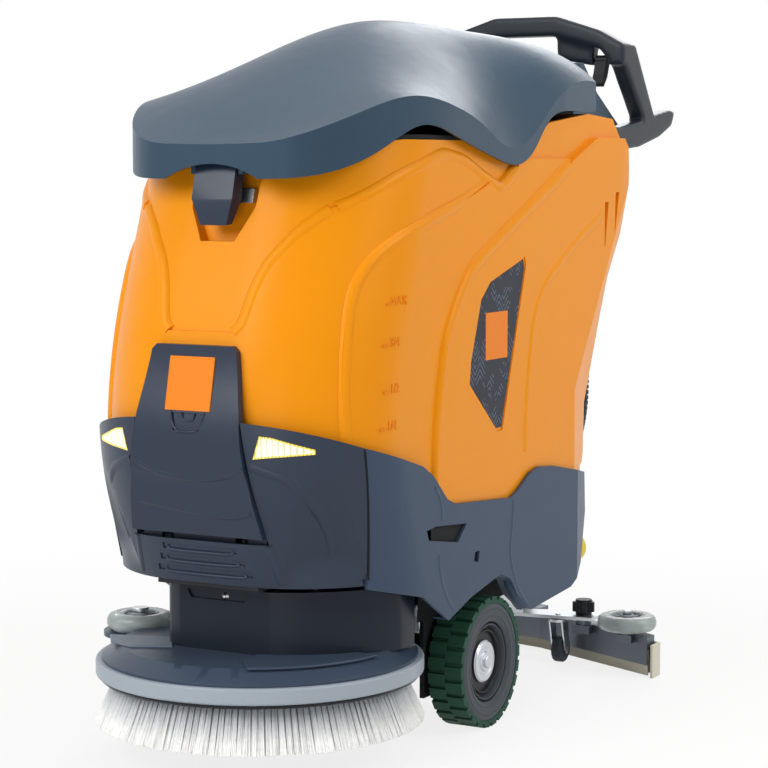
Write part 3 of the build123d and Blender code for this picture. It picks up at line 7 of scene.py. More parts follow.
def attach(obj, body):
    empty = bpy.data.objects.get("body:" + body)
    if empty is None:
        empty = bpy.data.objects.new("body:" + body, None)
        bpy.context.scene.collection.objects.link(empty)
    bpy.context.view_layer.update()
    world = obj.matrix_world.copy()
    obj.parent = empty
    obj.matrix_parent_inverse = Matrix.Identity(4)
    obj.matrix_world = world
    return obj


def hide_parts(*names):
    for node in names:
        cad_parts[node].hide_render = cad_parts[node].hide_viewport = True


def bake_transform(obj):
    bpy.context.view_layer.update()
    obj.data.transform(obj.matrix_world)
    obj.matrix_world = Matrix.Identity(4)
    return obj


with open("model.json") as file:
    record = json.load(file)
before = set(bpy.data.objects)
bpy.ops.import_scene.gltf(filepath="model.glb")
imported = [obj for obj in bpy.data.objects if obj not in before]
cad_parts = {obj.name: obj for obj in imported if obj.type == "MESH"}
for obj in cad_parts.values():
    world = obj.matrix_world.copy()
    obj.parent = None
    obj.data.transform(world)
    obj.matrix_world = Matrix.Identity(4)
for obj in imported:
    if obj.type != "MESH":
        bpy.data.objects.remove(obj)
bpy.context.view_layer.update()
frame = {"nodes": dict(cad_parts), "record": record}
brushAxis = -0.4705     # frame Y of the brush axis
print("frame loaded:", len(frame["nodes"]), "nodes")


# millimetres across, behind the brush axis and up, to frame metres
def place(x, d, z):
    return Vector((x / 1000, brushAxis + d / 1000, z / 1000))


# rays at the machine start well clear of it
rayStart = {"side": 700, "front": -1500}
ahead = Vector((0, 1, 0))


def besideAt(sign, d, z):
    return place(sign * rayStart["side"], d, z)


def beforeAt(x, z):
    return place(x, rayStart["front"], z)


def rectangle(near, far, low, high):
    return ((near, low), (far, low), (far, high), (near, high))


def deselect():
    if bpy.context.mode != "OBJECT":
        bpy.ops.object.mode_set(mode="OBJECT")
    bpy.ops.object.select_all(action="DESELECT")


def pick(piece):
    deselect()
    piece.select_set(True)
    bpy.context.view_layer.objects.active = piece


def newest(name):
    piece = bpy.context.object
    piece.name = name
    piece.data.name = name
    return piece


def enterEdit():
    bpy.ops.object.mode_set(mode="EDIT")


def leaveEdit():
    bpy.ops.object.mode_set(mode="OBJECT")


def editAll(piece):
    pick(piece)
    enterEdit()
    bpy.ops.mesh.select_mode(type="VERT")
    bpy.ops.mesh.select_all(action="SELECT")


# in edit mode, picks the vertices or faces that pass the test
def pickWhere(piece, kind, test):
    bpy.ops.mesh.select_mode(type=kind)
    bpy.ops.mesh.select_all(action="DESELECT")
    leaveEdit()
    for part in piece.data.vertices if kind == "VERT" else piece.data.polygons:
        part.select = test(part)
    enterEdit()


# adds a modifier with its settings and applies it
def modify(piece, kind, **settings):
    modifier = piece.modifiers.new(kind, kind)
    for key, value in settings.items():
        setattr(modifier, key, value)
    pick(piece)
    bpy.ops.object.modifier_apply(modifier=modifier.name)


def settle(piece):
    pick(piece)
    bpy.ops.object.transform_apply(location=True, rotation=True, scale=True)


def outward(piece):
    editAll(piece)
    bpy.ops.mesh.remove_doubles(threshold=0.00001)
    bpy.ops.mesh.normals_make_consistent(inside=False)
    leaveEdit()


def smooth(piece, angle=32):
    pick(piece)
    bpy.ops.object.shade_smooth_by_angle(angle=math.radians(angle))


def roundEdges(piece, width, steps=2, angle=30):
    modify(piece, "BEVEL", width=width, segments=steps, limit_method="ANGLE",
           angle_limit=math.radians(angle), miter_outer="MITER_ARC")


def evenShade(piece, angle=32):
    smooth(piece, angle)
    modify(piece, "WEIGHTED_NORMAL", keep_sharp=True)


def joinPieces(pieces, name):
    deselect()
    for piece in pieces:
        piece.select_set(True)
    bpy.context.view_layer.objects.active = pieces[0]
    if len(pieces) > 1:
        bpy.ops.object.join()
    return newest(name)


def dress(piece, body, finish, slot, *nodes):
    piece.data.materials.clear()
    piece.data.materials.append(finishes[finish])
    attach(piece, body)
    if nodes:
        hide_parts(*nodes)
    return piece


# closed outline of (radius, height) points spun about Z, then turned and set in place
def spun(name, outline, spot, turn=(0, 0, 0), sides=72):
    deselect()
    bpy.ops.mesh.primitive_circle_add(vertices=len(outline), radius=1, location=(0, 0, 0))
    piece = newest(name)
    for vertex, (radius, height) in zip(piece.data.vertices, outline):
        vertex.co = (radius, 0, height)
    editAll(piece)
    bpy.ops.mesh.spin(steps=sides, angle=2 * math.pi, center=(0, 0, 0), axis=(0, 0, 1))
    leaveEdit()
    outward(piece)
    piece.rotation_euler = turn
    piece.location = spot
    settle(piece)
    return piece


# flat outline of frame points, thickened along a push
def slab(name, corners, push):
    deselect()
    count = len(corners)
    bpy.ops.mesh.primitive_circle_add(vertices=count, radius=1, fill_type="NGON", location=(0, 0, 0))
    piece = newest(name)
    for vertex, corner in zip(piece.data.vertices, corners):
        vertex.co = corner
    editAll(piece)
    bpy.ops.mesh.extrude_region_move(TRANSFORM_OT_translate={"value": push})
    leaveEdit()
    outward(piece)
    return piece


def ringCopies(piece, count):
    deselect()
    bpy.ops.object.empty_add(location=(0, 0, 0), rotation=(0, 0, 2 * math.pi / count))
    turn = bpy.context.object
    modify(piece, "ARRAY", count=count, use_relative_offset=False, use_object_offset=True,
           offset_object=turn)
    bpy.data.objects.remove(turn)


# curve through frame points
def curveThrough(name, points, kind):
    deselect()
    bpy.ops.curve.primitive_nurbs_path_add(location=(0, 0, 0))
    curve = newest(name)
    curve.data.splines.clear()
    spline = curve.data.splines.new(kind)
    spline.points.add(len(points) - 1)
    for point, spot in zip(spline.points, points):
        point.co = (*spot, 1.0)
    curve.data.dimensions = "3D"
    return curve, spline


# round bead along frame points
def bead(name, points, radius):
    curve, spline = curveThrough(name, points, "POLY")
    curve.data.bevel_depth = radius
    curve.data.bevel_resolution = 3
    curve.data.use_fill_caps = True
    pick(curve)
    bpy.ops.object.convert(target="MESH")
    piece = newest(name)
    outward(piece)
    smooth(piece, 40)
    return piece


# takes a closed cutter away from a piece
def carve(piece, cutter):
    modify(piece, "BOOLEAN", object=cutter, solver="EXACT")
    bpy.data.objects.remove(cutter)


# point and normal where a ray meets a piece, at any place, on a flank or on the front
def surfaceAt(piece, origin, direction):
    hit, spot, normal, index = piece.ray_cast(origin, direction)
    return spot, normal


def flankAt(piece, sign, d, z):
    return surfaceAt(piece, besideAt(sign, d, z), Vector((-sign, 0, 0)))


def frontAt(piece, x, z):
    return surfaceAt(piece, beforeAt(x, z), ahead)


# bevels the edges between two faces whose normals and place pass the test
def softenEdges(piece, width, steps, test):
    editAll(piece)
    bpy.ops.mesh.select_mode(type="EDGE")
    bpy.ops.mesh.select_all(action="DESELECT")
    leaveEdit()
    normals = {}
    for face in piece.data.polygons:
        for key in face.edge_keys:
            normals.setdefault(key, []).append(face.normal.copy())
    points = piece.data.vertices
    for edge in piece.data.edges:
        pair = normals.get(tuple(sorted(edge.vertices)), [])
        middle = (points[edge.vertices[0]].co + points[edge.vertices[1]].co) / 2
        edge.select = len(pair) == 2 and test(pair[0], pair[1], middle)
    enterEdit()
    bpy.ops.mesh.bevel(offset=width, segments=steps, profile=0.5, affect="EDGES", clamp_overlap=True)
    leaveEdit()


bodyOf = {node: body for body, nodes in frame["record"]["behaviour"]["bodies"].items() for node in nodes}
slotOf = {part["node"]: part["material_slot"] for part in frame["record"]["subparts"]}


# merged copy of a node, without its flat edges
def mergedCopy(node, flat=0.6):
    deselect()
    piece = bpy.data.objects.new(node + "_skin", frame["nodes"][node].data.copy())
    bpy.context.scene.collection.objects.link(piece)
    editAll(piece)
    bpy.ops.mesh.remove_doubles(threshold=0.00002)
    bpy.ops.mesh.dissolve_limited(angle_limit=math.radians(flat))
    leaveEdit()
    return piece


# dressed copy that stands for its node, with softened edges
def skin(node, finish, edge=0.0012, steps=2, angle=30, shade=32, flat=0.6, prepare=None):
    piece = mergedCopy(node, flat)
    if prepare:
        prepare(piece)
    smooth(piece, shade)
    if edge:
        roundEdges(piece, edge, steps, angle)
    evenShade(piece, shade)
    return dress(piece, bodyOf[node], finish, slotOf[node], node)


# sets the inputs of a node: plain values, or links from other sockets
def feed(tree, node, inputs):
    for key, value in inputs.items():
        if isinstance(value, bpy.types.NodeSocket):
            tree.links.new(value, node.inputs[key])
        else:
            node.inputs[key].default_value = value


def mathNode(tree, operation, first, second):
    node = tree.nodes.new("ShaderNodeMath")
    node.operation = operation
    feed(tree, node, {0: first, 1: second})
    return node.outputs[0]


def plus(tree, first, second):
    return mathNode(tree, "ADD", first, second)


def times(tree, first, second):
    return mathNode(tree, "MULTIPLY", first, second)


def noiseNode(tree, vector, scale, detail=2.0, rough=0.5):
    node = tree.nodes.new("ShaderNodeTexNoise")
    feed(tree, node, {"Vector": vector, "Scale": scale, "Detail": detail, "Roughness": rough})
    return node.outputs["Fac"]


def tintNode(tree, factor, first, second, blend="MIX"):
    node = tree.nodes.new("ShaderNodeMix")
    node.data_type = "RGBA"
    node.blend_type = blend
    feed(tree, node, {0: factor, 6: first, 7: second})
    return node.outputs[2]


def axesOf(tree, coords):
    split = tree.nodes.new("ShaderNodeSeparateXYZ")
    feed(tree, split, {0: coords})
    return split.outputs


# shader groups shared by the finishes
groupOutputs = {"Color": "NodeSocketColor", "Roughness": "NodeSocketFloat", "Height": "NodeSocketFloat"}


def newGroup(name, floats):
    group = bpy.data.node_groups.new(name, "ShaderNodeTree")
    inputs = {"Vector": "NodeSocketVector", "Color": "NodeSocketColor"}
    inputs.update({label: "NodeSocketFloat" for label in floats})
    for way, sockets in (("INPUT", inputs), ("OUTPUT", groupOutputs)):
        for label, kind in sockets.items():
            group.interface.new_socket(name=label, in_out=way, socket_type=kind)
    return group, group.nodes.new("NodeGroupInput").outputs


def closeGroup(group, *sources):
    feed(group, group.nodes.new("NodeGroupOutput"), dict(zip(groupOutputs, sources)))
    return group


# moulded plastic: fine pebble grain, broad cloudiness and uneven gloss
def buildMouldGroup():
    group, given = newGroup("mouldedGrain", ("Grain", "Cloud", "Roughness", "Uneven"))
    fine = noiseNode(group, given["Vector"], given["Grain"], 3.0, 0.6)
    broad = noiseNode(group, given["Vector"], 3.2, 3.0, 0.55)
    patch = noiseNode(group, given["Vector"], 24.0, 4.0, 0.6)
    cloud = times(group, plus(group, broad, -0.5), given["Cloud"])
    speck = times(group, plus(group, fine, -0.5), 0.06)
    shade = plus(group, plus(group, 1.0, cloud), speck)
    toned = tintNode(group, 1.0, given["Color"], shade, "MULTIPLY")
    gloss = times(group, plus(group, patch, -0.5), given["Uneven"])
    return closeGroup(group, toned, plus(group, given["Roughness"], gloss), fine)


# drawn metal: streaks along one axis with scattered dull patches
def buildDrawnGroup():
    group, given = newGroup("drawnMetal", ("Roughness",))
    stretch = group.nodes.new("ShaderNodeMapping")
    feed(group, stretch, {"Vector": given["Vector"], "Scale": (40.0, 900.0, 900.0)})
    streak = noiseNode(group, stretch.outputs[0], 1.0, 2.0, 0.6)
    patch = noiseNode(group, given["Vector"], 60.0, 3.0, 0.6)
    shade = plus(group, 0.86, times(group, streak, 0.26))
    toned = tintNode(group, 1.0, given["Color"], shade, "MULTIPLY")
    gloss = plus(group, given["Roughness"], times(group, patch, 0.16))
    return closeGroup(group, toned, gloss, streak)


mouldGroup = buildMouldGroup()
drawnGroup = buildDrawnGroup()


# screen color, 0 to 255, as a linear one
def linear(*color):
    shares = [value / 255 for value in color]
    return [share / 12.92 if share <= 0.04045 else ((share + 0.055) / 1.055) ** 2.4
            for share in shares] + [1]


# empty material with its shader and coordinates ready
def newFinish(name):
    material = bpy.data.materials.new(name)
    material.use_nodes = True
    tree = material.node_tree
    shader = tree.nodes["Principled BSDF"]
    coords = tree.nodes.new("ShaderNodeTexCoord").outputs["Object"]
    return material, tree, shader, coords


def bumpOn(tree, shader, height, strength, distance):
    bump = tree.nodes.new("ShaderNodeBump")
    feed(tree, bump, {"Strength": strength, "Distance": distance, "Height": height})
    feed(tree, shader, {"Normal": bump.outputs["Normal"]})


# material whose color, gloss and relief come from a shared group
def groupFinish(name, group, settings, bump, distance, more):
    material, tree, shader, coords = newFinish(name)
    node = tree.nodes.new("ShaderNodeGroup")
    node.node_tree = group
    feed(tree, node, {"Vector": coords, **settings})
    made = node.outputs
    feed(tree, shader, {"Base Color": made["Color"], "Roughness": made["Roughness"], **more})
    bumpOn(tree, shader, made["Height"], bump, distance)
    return material


def moulded(name, color, rough, grain, cloud, uneven, bump, shine=0.2, tint=(255, 255, 255)):
    settings = {"Color": linear(*color), "Roughness": rough, "Grain": grain, "Cloud": cloud,
                "Uneven": uneven}
    more = {"Specular IOR Level": shine, "Specular Tint": linear(*tint), **clearLayers.get(name, {})}
    return groupFinish(name, mouldGroup, settings, bump, 0.0004, more)


def drawn(name, color, rough, metallic=1.0):
    settings = {"Color": linear(*color), "Roughness": rough}
    return groupFinish(name, drawnGroup, settings, 0.12, 0.0002, {"Metallic": metallic})


# color, roughness, grain, cloudiness, uneven gloss and relief, for some also shine and its tint
mouldedFinishes = {
    "tankOrange": ((238, 147, 14), 0.34, 520, 0.06, 0.12, 0.12, 0.22, (255, 208, 188)),
    "coverGrey": ((62, 77, 97), 0.38, 700, 0.1, 0.12, 0.25, 0.14),
    # the cover plastic of coverGrey made darker for the front cover and its trim: painted shade on faces
    # that lean down
    "coverPaintedShade": ((42, 53, 69), 0.34, 700, 0.1, 0.12, 0.2, 0.3),
    "hatchGrey": ((36, 47, 65), 0.24, 900, 0.1, 0.08, 0.1, 0.34),
    "lidGrey": ((50, 68, 84), 0.36, 620, 0.1, 0.12, 0.2, 0.34, (178, 212, 240)),
    "handleBlack": ((40, 46, 54), 0.34, 600, 0.12, 0.1, 0.22),
    # the deck housing is one moulding in two copies of its grey: darker on the tower as painted shade,
    # lighter on the pan as painted light
    "towerPaintedShade": ((25, 33, 45), 0.3, 900, 0.12, 0.1, 0.16),
    "deckPaintedLight": ((60, 73, 91), 0.32, 900, 0.12, 0.1, 0.16),
    "padGrey": ((112, 124, 138), 0.4, 800, 0.1, 0.1, 0.18),
    "ringGrey": ((158, 168, 177), 0.38, 900, 0.08, 0.1, 0.12),
    "paleGrey": ((176, 182, 184), 0.45, 800, 0.1, 0.1, 0.2),
    "tubGrey": ((190, 192, 194), 0.5, 600, 0.1, 0.1, 0.2),
    "frameBlack": ((34, 35, 38), 0.5, 420, 0.16, 0.14, 0.4),
    "rimBlack": ((24, 26, 29), 0.36, 800, 0.14, 0.1, 0.2),
    "sidewallGrey": ((66, 71, 77), 0.46, 700, 0.16, 0.12, 0.3),
    # black of the lid gasket, also used for the sheets and beads that paint shade inside the vents, the arch
    # and the seam
    "sealAndShadeBlack": ((26, 27, 29), 0.75, 1400, 0.2, 0.1, 0.5),
    "hoseBlack": ((34, 36, 40), 0.5, 900, 0.16, 0.12, 0.25),
    "knobBlack": ((30, 32, 35), 0.4, 900, 0.14, 0.1, 0.3),
    "castorGrey": ((62, 70, 80), 0.5, 700, 0.14, 0.1, 0.25),
    "hubGrey": ((150, 158, 164), 0.34, 900, 0.1, 0.1, 0.12),
    "bladeCream": ((220, 216, 198), 0.5, 380, 0.14, 0.1, 0.2),
    "treadGreen": ((36, 72, 58), 0.62, 520, 0.26, 0.12, 0.5),
    "capYellow": ((232, 204, 48), 0.35, 900, 0.08, 0.08, 0.15),
    "batteryGrey": ((58, 60, 66), 0.5, 600, 0.12, 0.1, 0.3),
    "badgeOrange": ((238, 132, 34), 0.34, 1200, 0.05, 0.06, 0.06, 0.12),
    "screenBlack": ((16, 18, 22), 0.14, 1600, 0.1, 0.04, 0.03),
    "markAmber": ((246, 152, 26), 0.4, 520, 0.08, 0.1, 0.12),
    # the tank orange made deeper on the raised marks: painted shade of their relief
    "markPaintedShade": ((234, 134, 4), 0.4, 520, 0.08, 0.1, 0.12),
    "rollerClear": ((196, 206, 204), 0.2, 260, 0.2, 0.12, 0.08, 0.5),
}
# see-through soft plastic of the rollers, and the coat of the display
clearLayers = {"rollerClear": {"Transmission Weight": 0.55, "IOR": 1.42},
               "screenBlack": {"Coat Weight": 0.3, "Coat Roughness": 0.2}}
# color, roughness, for some also how metallic
drawnFinishes = {
    "steelBright": ((200, 204, 209), 0.24),
    "steelDull": ((168, 171, 175), 0.36),
    "barMetal": ((104, 110, 118), 0.4, 0.85),
    "motorGrey": ((120, 123, 128), 0.45, 0.7),
}


# lamp lens: lit cream body with ribs, yellower towards its rim
def buildLampGlow(name, color, strength, ribs):
    material, tree, shader, coords = newFinish(name)
    stripe = mathNode(tree, "PINGPONG", times(tree, axesOf(tree, coords)["X"], ribs), 1.0)
    flicker = times(tree, stripe, noiseNode(tree, coords, 90.0))
    shade = plus(tree, 0.55, times(tree, flicker, 0.95))
    glow = tintNode(tree, 1.0, linear(*color), shade, "MULTIPLY")
    feed(tree, shader, {"Base Color": glow, "Emission Color": glow, "Emission Strength": strength,
                        "Roughness": 0.12})
    bumpOn(tree, shader, stripe, 0.4, 0.0008)
    return material


# dark label film: short broken zigzag lines on a deep blue ground
def buildLabelFilm():
    material, tree, shader, coords = newFinish("labelFilm")
    axes = axesOf(tree, coords)
    fold = mathNode(tree, "PINGPONG", axes["Y"], 0.017)
    rise = plus(tree, axes["Z"], times(tree, fold, 1.1))
    wave = mathNode(tree, "PINGPONG", times(tree, rise, 190.0), 1.0)
    line = mathNode(tree, "LESS_THAN", wave, 0.2)
    breaks = mathNode(tree, "GREATER_THAN", noiseNode(tree, coords, 46.0, 1.0, 0.4), 0.53)
    mask = times(tree, line, breaks)
    ground = tintNode(tree, noiseNode(tree, coords, 30.0), linear(26, 30, 40), linear(38, 44, 58))
    toned = tintNode(tree, mask, ground, linear(98, 110, 132))
    feed(tree, shader, {"Base Color": toned, "Roughness": 0.3, "Specular IOR Level": 0.15})
    bumpOn(tree, shader, mask, 0.1, 0.0002)
    return material


# bristle fibre: pale tips, greyer towards the roots as painted shade under the deck ring
def buildBristleFibre(rootZ, tipZ):
    material, tree, shader, coords = newFinish("bristleFibre")
    rise = tree.nodes.new("ShaderNodeMapRange")
    feed(tree, rise, {"Value": axesOf(tree, coords)["Z"], "From Min": tipZ, "From Max": rootZ})
    # greyer roots: painted shade under the ring
    tone = tintNode(tree, rise.outputs["Result"], linear(252, 252, 250), linear(168, 174, 181))
    strand = plus(tree, 0.84, times(tree, noiseNode(tree, coords, 160.0), 0.3))
    toned = tintNode(tree, 1.0, tone, strand, "MULTIPLY")
    feed(tree, shader, {"Base Color": toned, "Roughness": 0.45, "Specular IOR Level": 0.2})
    bumpOn(tree, shader, noiseNode(tree, coords, 700.0), 0.1, 0.0004)
    return material


finishes = {name: moulded(name, *row) for name, row in mouldedFinishes.items()}
finishes.update({name: drawn(name, *row) for name, row in drawnFinishes.items()})
finishes["bristleFibre"] = buildBristleFibre(0.118, 0.07)
finishes["lampCore"] = buildLampGlow("lampCore", (250, 244, 214), 0.5, 260.0)
finishes["lampRim"] = buildLampGlow("lampRim", (246, 222, 96), 0.45, 420.0)
finishes["labelFilm"] = buildLabelFilm()
print("finishes ready")

# nodes kept in their own form, with their finish and edge rounding
plainSkins = {
    # the front cover is dressed in the darker copy of the cover plastic: painted shade
    "base_front_cover": ("coverPaintedShade", 0.0025), "base_shell": ("coverGrey", 0.0025),
    "recovery_tank": ("tubGrey", 0.0015), "lid_gasket": ("sealAndShadeBlack", 0.0015),
    "lid_latch": ("hatchGrey", 0.002), "bumper_ring": ("ringGrey", 0.0),
    "brush_backing": ("paleGrey", 0.001), "squeegee_bar": ("barMetal", 0.0012),
    "squeegee_carrier": ("steelBright", 0.0012), "rear_blade": ("bladeCream", 0.0008),
    "front_blade": ("bladeCream", 0.0008), "drain_cap": ("capYellow", 0.003),
    "console_display": ("screenBlack", 0.0006), "key_switch": ("steelBright", 0.0008),
    "button_left": ("paleGrey", 0.001), "button_right": ("capYellow", 0.001),
    "roller_pin": ("steelBright", 0.001), "chassis_frame": ("frameBlack", 0.001),
    "transaxle": ("motorGrey", 0.002), "brush_motor": ("motorGrey", 0.002),
    "battery_pack": ("batteryGrey", 0.003), "vacuum_motor": ("motorGrey", 0.002),
    "solution_filter": ("paleGrey", 0.002), "lift_actuator": ("knobBlack", 0.002),
    "lift_posts": ("steelBright", 0.001), "deck_screws": ("steelDull", 0.0008),
    "hinge_pins": ("steelDull", 0.0006), "hatch_pins": ("frameBlack", 0.0004),
    "latch_pin": ("steelDull", 0.0004), "latch_striker": ("steelDull", 0.0008),
}
for side in ("left", "right"):
    plainSkins.update({
        "tyre_" + side: ("treadGreen", 0.0012), "rim_" + side: ("rimBlack", 0.001),
        "wheel_axle_" + side: ("steelBright", 0.0012), "rear_fork_" + side: ("steelBright", 0.0006),
        "rear_castor_wheel_" + side: ("castorGrey", 0.003), "star_knob_" + side: ("knobBlack", 0.0015),
        "small_fork_" + side: ("steelBright", 0.0005), "small_wheel_" + side: ("castorGrey", 0.003),
        "trigger_" + side: ("knobBlack", 0.0015),
    })
skins = {node: skin(node, finish, edge) for node, (finish, edge) in plainSkins.items()}
print("plain skins made:", len(skins))

# broad mouldings, with the larger rounds of their outer edges
lidBuild = {"centre": 300, "crease": 0.006, "steps": 4, "rim": 0.005, "rimSteps": 3,
            "topSlope": 0.3, "lowSlope": -0.35, "highSlope": 0.5, "fold": 0.35, "underSlope": -0.6}
tankBuild = {"slots": (((761, 849), (754, 770)), ((808, 866), (798, 797))), "wide": 16.0, "foot": 2.0,
             "deep": 6.5, "cut": 0.05}
hatchBuild = {"middle": 430, "bend": 300.0, "tube": 110.0, "deep": 3.0, "reach": 40.0, "tall": 40.0,
              "steps": 14, "sides": 160}
handleBuild = {"grain": 0.003, "passes": 36, "keep": 0.35}
towerBuild = {"centre": 20, "pan": 0.179, "low": 0.18, "high": 0.272, "brow": 0.26, "corner": 0.014,
              "top": 0.007, "steps": 4, "notch": ((-64, 268), (52, 268), (40, 255), (-56, 255)),
              "face": -104, "cut": 0.03, "upright": 0.1, "bend": 0.94, "flat": 0.9, "steep": 0.2}


def outside(normal, middle, centre):
    away = Vector((middle.x - centre.x, middle.y - centre.y, 0))
    return normal.x * away.x + normal.y * away.y > 0


def roundLid(piece):
    centre = place(0, lidBuild["centre"], 0)

    def crease(first, second, middle):
        top, side = (first, second) if first.z > second.z else (second, first)
        sloped = top.z > lidBuild["topSlope"] and lidBuild["lowSlope"] < side.z < lidBuild["highSlope"]
        return sloped and top.z - side.z > lidBuild["fold"] and outside(side, middle, centre)

    def rim(first, second, middle):
        side, under = (first, second) if first.z > second.z else (second, first)
        level = under.z < lidBuild["underSlope"] and abs(side.z) < lidBuild["highSlope"]
        return level and outside(side, middle, centre)

    softenEdges(piece, lidBuild["crease"], lidBuild["steps"], crease)
    softenEdges(piece, lidBuild["rim"], lidBuild["rimSteps"], rim)


# shallow hollow across the hatch, curving up at both sides
def hollowHatch(piece):
    bend, tube, deep, tall = (hatchBuild[key] / 1000 for key in ("bend", "tube", "deep", "tall"))
    spot, normal = frontAt(piece, 0, hatchBuild["middle"])
    outline = []
    for step in range(-hatchBuild["steps"], hatchBuild["steps"] + 1):
        aside = hatchBuild["reach"] / 1000 * step / hatchBuild["steps"]
        outline.append((bend + aside, tube - deep - math.sqrt(tube ** 2 - aside ** 2)))
    outline += [(bend + aside, tall), (bend - aside, tall)]
    lean = math.atan2(normal.z, -normal.y)
    centre = spot + Vector((0, math.sin(lean), math.cos(lean))) * bend
    carve(piece, spun("hatchCutter", outline, centre, (math.pi / 2 - lean, 0, 0), hatchBuild["sides"]))


# turns the bar's square edges into full rounds
def meltHandle(piece):
    pick(piece)
    piece.data.remesh_voxel_size = handleBuild["grain"]
    bpy.ops.object.voxel_remesh()
    modify(piece, "SMOOTH", factor=0.5, iterations=handleBuild["passes"])
    modify(piece, "DECIMATE", ratio=handleBuild["keep"])


# tapered slots high on both flanks
def cutSlots(piece):
    half, foot = tankBuild["wide"] / 2, tankBuild["foot"] / 2
    for sign in (1, -1):
        for (topD, topZ), (footD, footZ) in tankBuild["slots"]:
            spot, normal = flankAt(piece, sign, topD, (topZ + footZ) / 2)
            face = spot.x * 1000 - sign * tankBuild["deep"]
            corners = [(topD - half, topZ), (topD + half, topZ),
                       (footD + foot, footZ), (footD - foot, footZ)]
            push = (sign * tankBuild["cut"], 0, 0)
            carve(piece, slab("slotCutter", [place(face, d, z) for d, z in corners], push))


def roundTower(piece):
    centre = place(0, towerBuild["centre"], 0)

    def corner(first, second, middle):
        upright = max(abs(first.z), abs(second.z)) < towerBuild["upright"]
        bent = first.dot(second) < towerBuild["bend"]
        level = towerBuild["low"] < middle.z < towerBuild["high"]
        return upright and bent and level and outside(first, middle, centre)

    def top(first, second, middle):
        high, side = (first, second) if first.z > second.z else (second, first)
        square = high.z > towerBuild["flat"] and abs(side.z) < towerBuild["steep"]
        return square and middle.z > towerBuild["brow"] and outside(side, middle, centre)

    softenEdges(piece, towerBuild["corner"], towerBuild["steps"], corner)
    softenEdges(piece, towerBuild["top"], towerBuild["steps"], top)
    notch = [place(x, towerBuild["face"], z) for x, z in towerBuild["notch"]]
    carve(piece, slab("notchCutter", notch, (0, -towerBuild["cut"], 0)))


skins["lid"] = skin("lid", "lidGrey", 0.0015, flat=0.05, prepare=roundLid)
skins["solution_tank"] = skin("solution_tank", "tankOrange", 0.0035, 3, flat=0.1, prepare=cutSlots)
skins["front_hatch"] = skin("front_hatch", "hatchGrey", 0.0025, 3, flat=0.1, prepare=hollowHatch)
skins["console_housing"] = skin("console_housing", "lidGrey", 0.006, 3)
skins["handle_frame"] = skin("handle_frame", "handleBlack", 0, prepare=meltHandle, shade=50)
skins["deck_housing"] = skin("deck_housing", "towerPaintedShade", 0.002, prepare=roundTower)
# faces below the pan height take the lighter copy of the grey: painted light on the up-facing deck, painted
# shade on the tower
skins["deck_housing"].data.materials.append(finishes["deckPaintedLight"])
for face in skins["deck_housing"].data.polygons:
    face.material_index = 1 if face.center.z < towerBuild["pan"] else 0
print("skins made:", len(skins))

# suction hose: one rib modelled, set in a row and bent along its route
hoseBuild = {"crest": 0.025, "valley": 0.0215, "bore": 0.019, "ribs": 72, "sides": 40,
             "profile": ((0.16, "crest"), (0.44, "crest"), (0.6, "valley"), (1.0, "valley")),
             "weld": 0.0002, "smooth": 24}
hoseEnds = {"top": (165, 812, 712), "foot": (0, 928, 112), "bend": 205.0, "straight": 50.0, "steps": 8}


# straight out of both sockets, with two equal arcs between
def hoseLine(values):
    top, foot = place(*values["top"]), place(*values["foot"])
    aside = Vector((foot.x - top.x, foot.y - top.y, 0))
    reach, bend = aside.length, values["bend"] / 1000
    drop = 2 * math.sqrt(bend * reach - reach ** 2 / 4)
    swing = 2 * math.atan2(reach, drop)
    low = foot + Vector((0, 0, values["straight"] / 1000))
    high = Vector((top.x, top.y, low.z + drop))
    points = [top, (top + high) / 2, high]
    for step in range(1, 2 * values["steps"]):
        first = step <= values["steps"]
        turn = swing * (step if first else 2 * values["steps"] - step) / values["steps"]
        over, down = bend * (1 - math.cos(turn)), bend * math.sin(turn)
        end, away = (high, aside / reach) if first else (low, -aside / reach)
        points.append(end + away * over + Vector((0, 0, -down if first else down)))
    return points + [low, (low + foot) / 2, foot]


def buildHose(values):
    route, spline = curveThrough("hoseRoute", hoseLine(hoseEnds), "NURBS")
    spline.order_u = 3
    spline.use_endpoint_u = True
    spline.resolution_u = values["smooth"]
    route.data.twist_mode = "MINIMUM"
    bpy.ops.object.duplicate()
    bpy.ops.object.convert(target="MESH")
    line = bpy.context.object
    path = [vertex.co.copy() for vertex in line.data.vertices]
    length = sum((b - a).length for a, b in zip(path, path[1:]))
    bpy.data.objects.remove(line)
    pitch = length / values["ribs"]
    deselect()
    bpy.ops.mesh.primitive_circle_add(vertices=values["sides"], radius=values["valley"], location=(0, 0, 0))
    rib = newest("suctionHose")
    editAll(rib)
    for share, radius in values["profile"]:
        bpy.ops.mesh.extrude_region_move(TRANSFORM_OT_translate={"value": (0, 0, 0)})
        leaveEdit()
        for vertex in list(rib.data.vertices)[-values["sides"]:]:
            aside = Vector((vertex.co.x, vertex.co.y)).normalized() * values[radius]
            vertex.co = (aside.x, aside.y, share * pitch)
        enterEdit()
    leaveEdit()
    modify(rib, "ARRAY", count=values["ribs"], use_relative_offset=False, use_constant_offset=True,
           constant_offset_displace=(0, 0, pitch), use_merge_vertices=True, merge_threshold=values["weld"])
    modify(rib, "CURVE", object=route, deform_axis="POS_Z")
    bpy.data.objects.remove(route)
    modify(rib, "SOLIDIFY", thickness=values["valley"] - values["bore"], offset=-1)
    outward(rib)
    smooth(rib, 50)
    return rib, path, length


hose, hosePath, hoseLength = buildHose(hoseBuild)
hose.data.materials.clear()
hose.data.materials.append(finishes["hoseBlack"])
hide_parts("suction_hose")
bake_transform(hose)
print("hose made, length", round(hoseLength, 3))

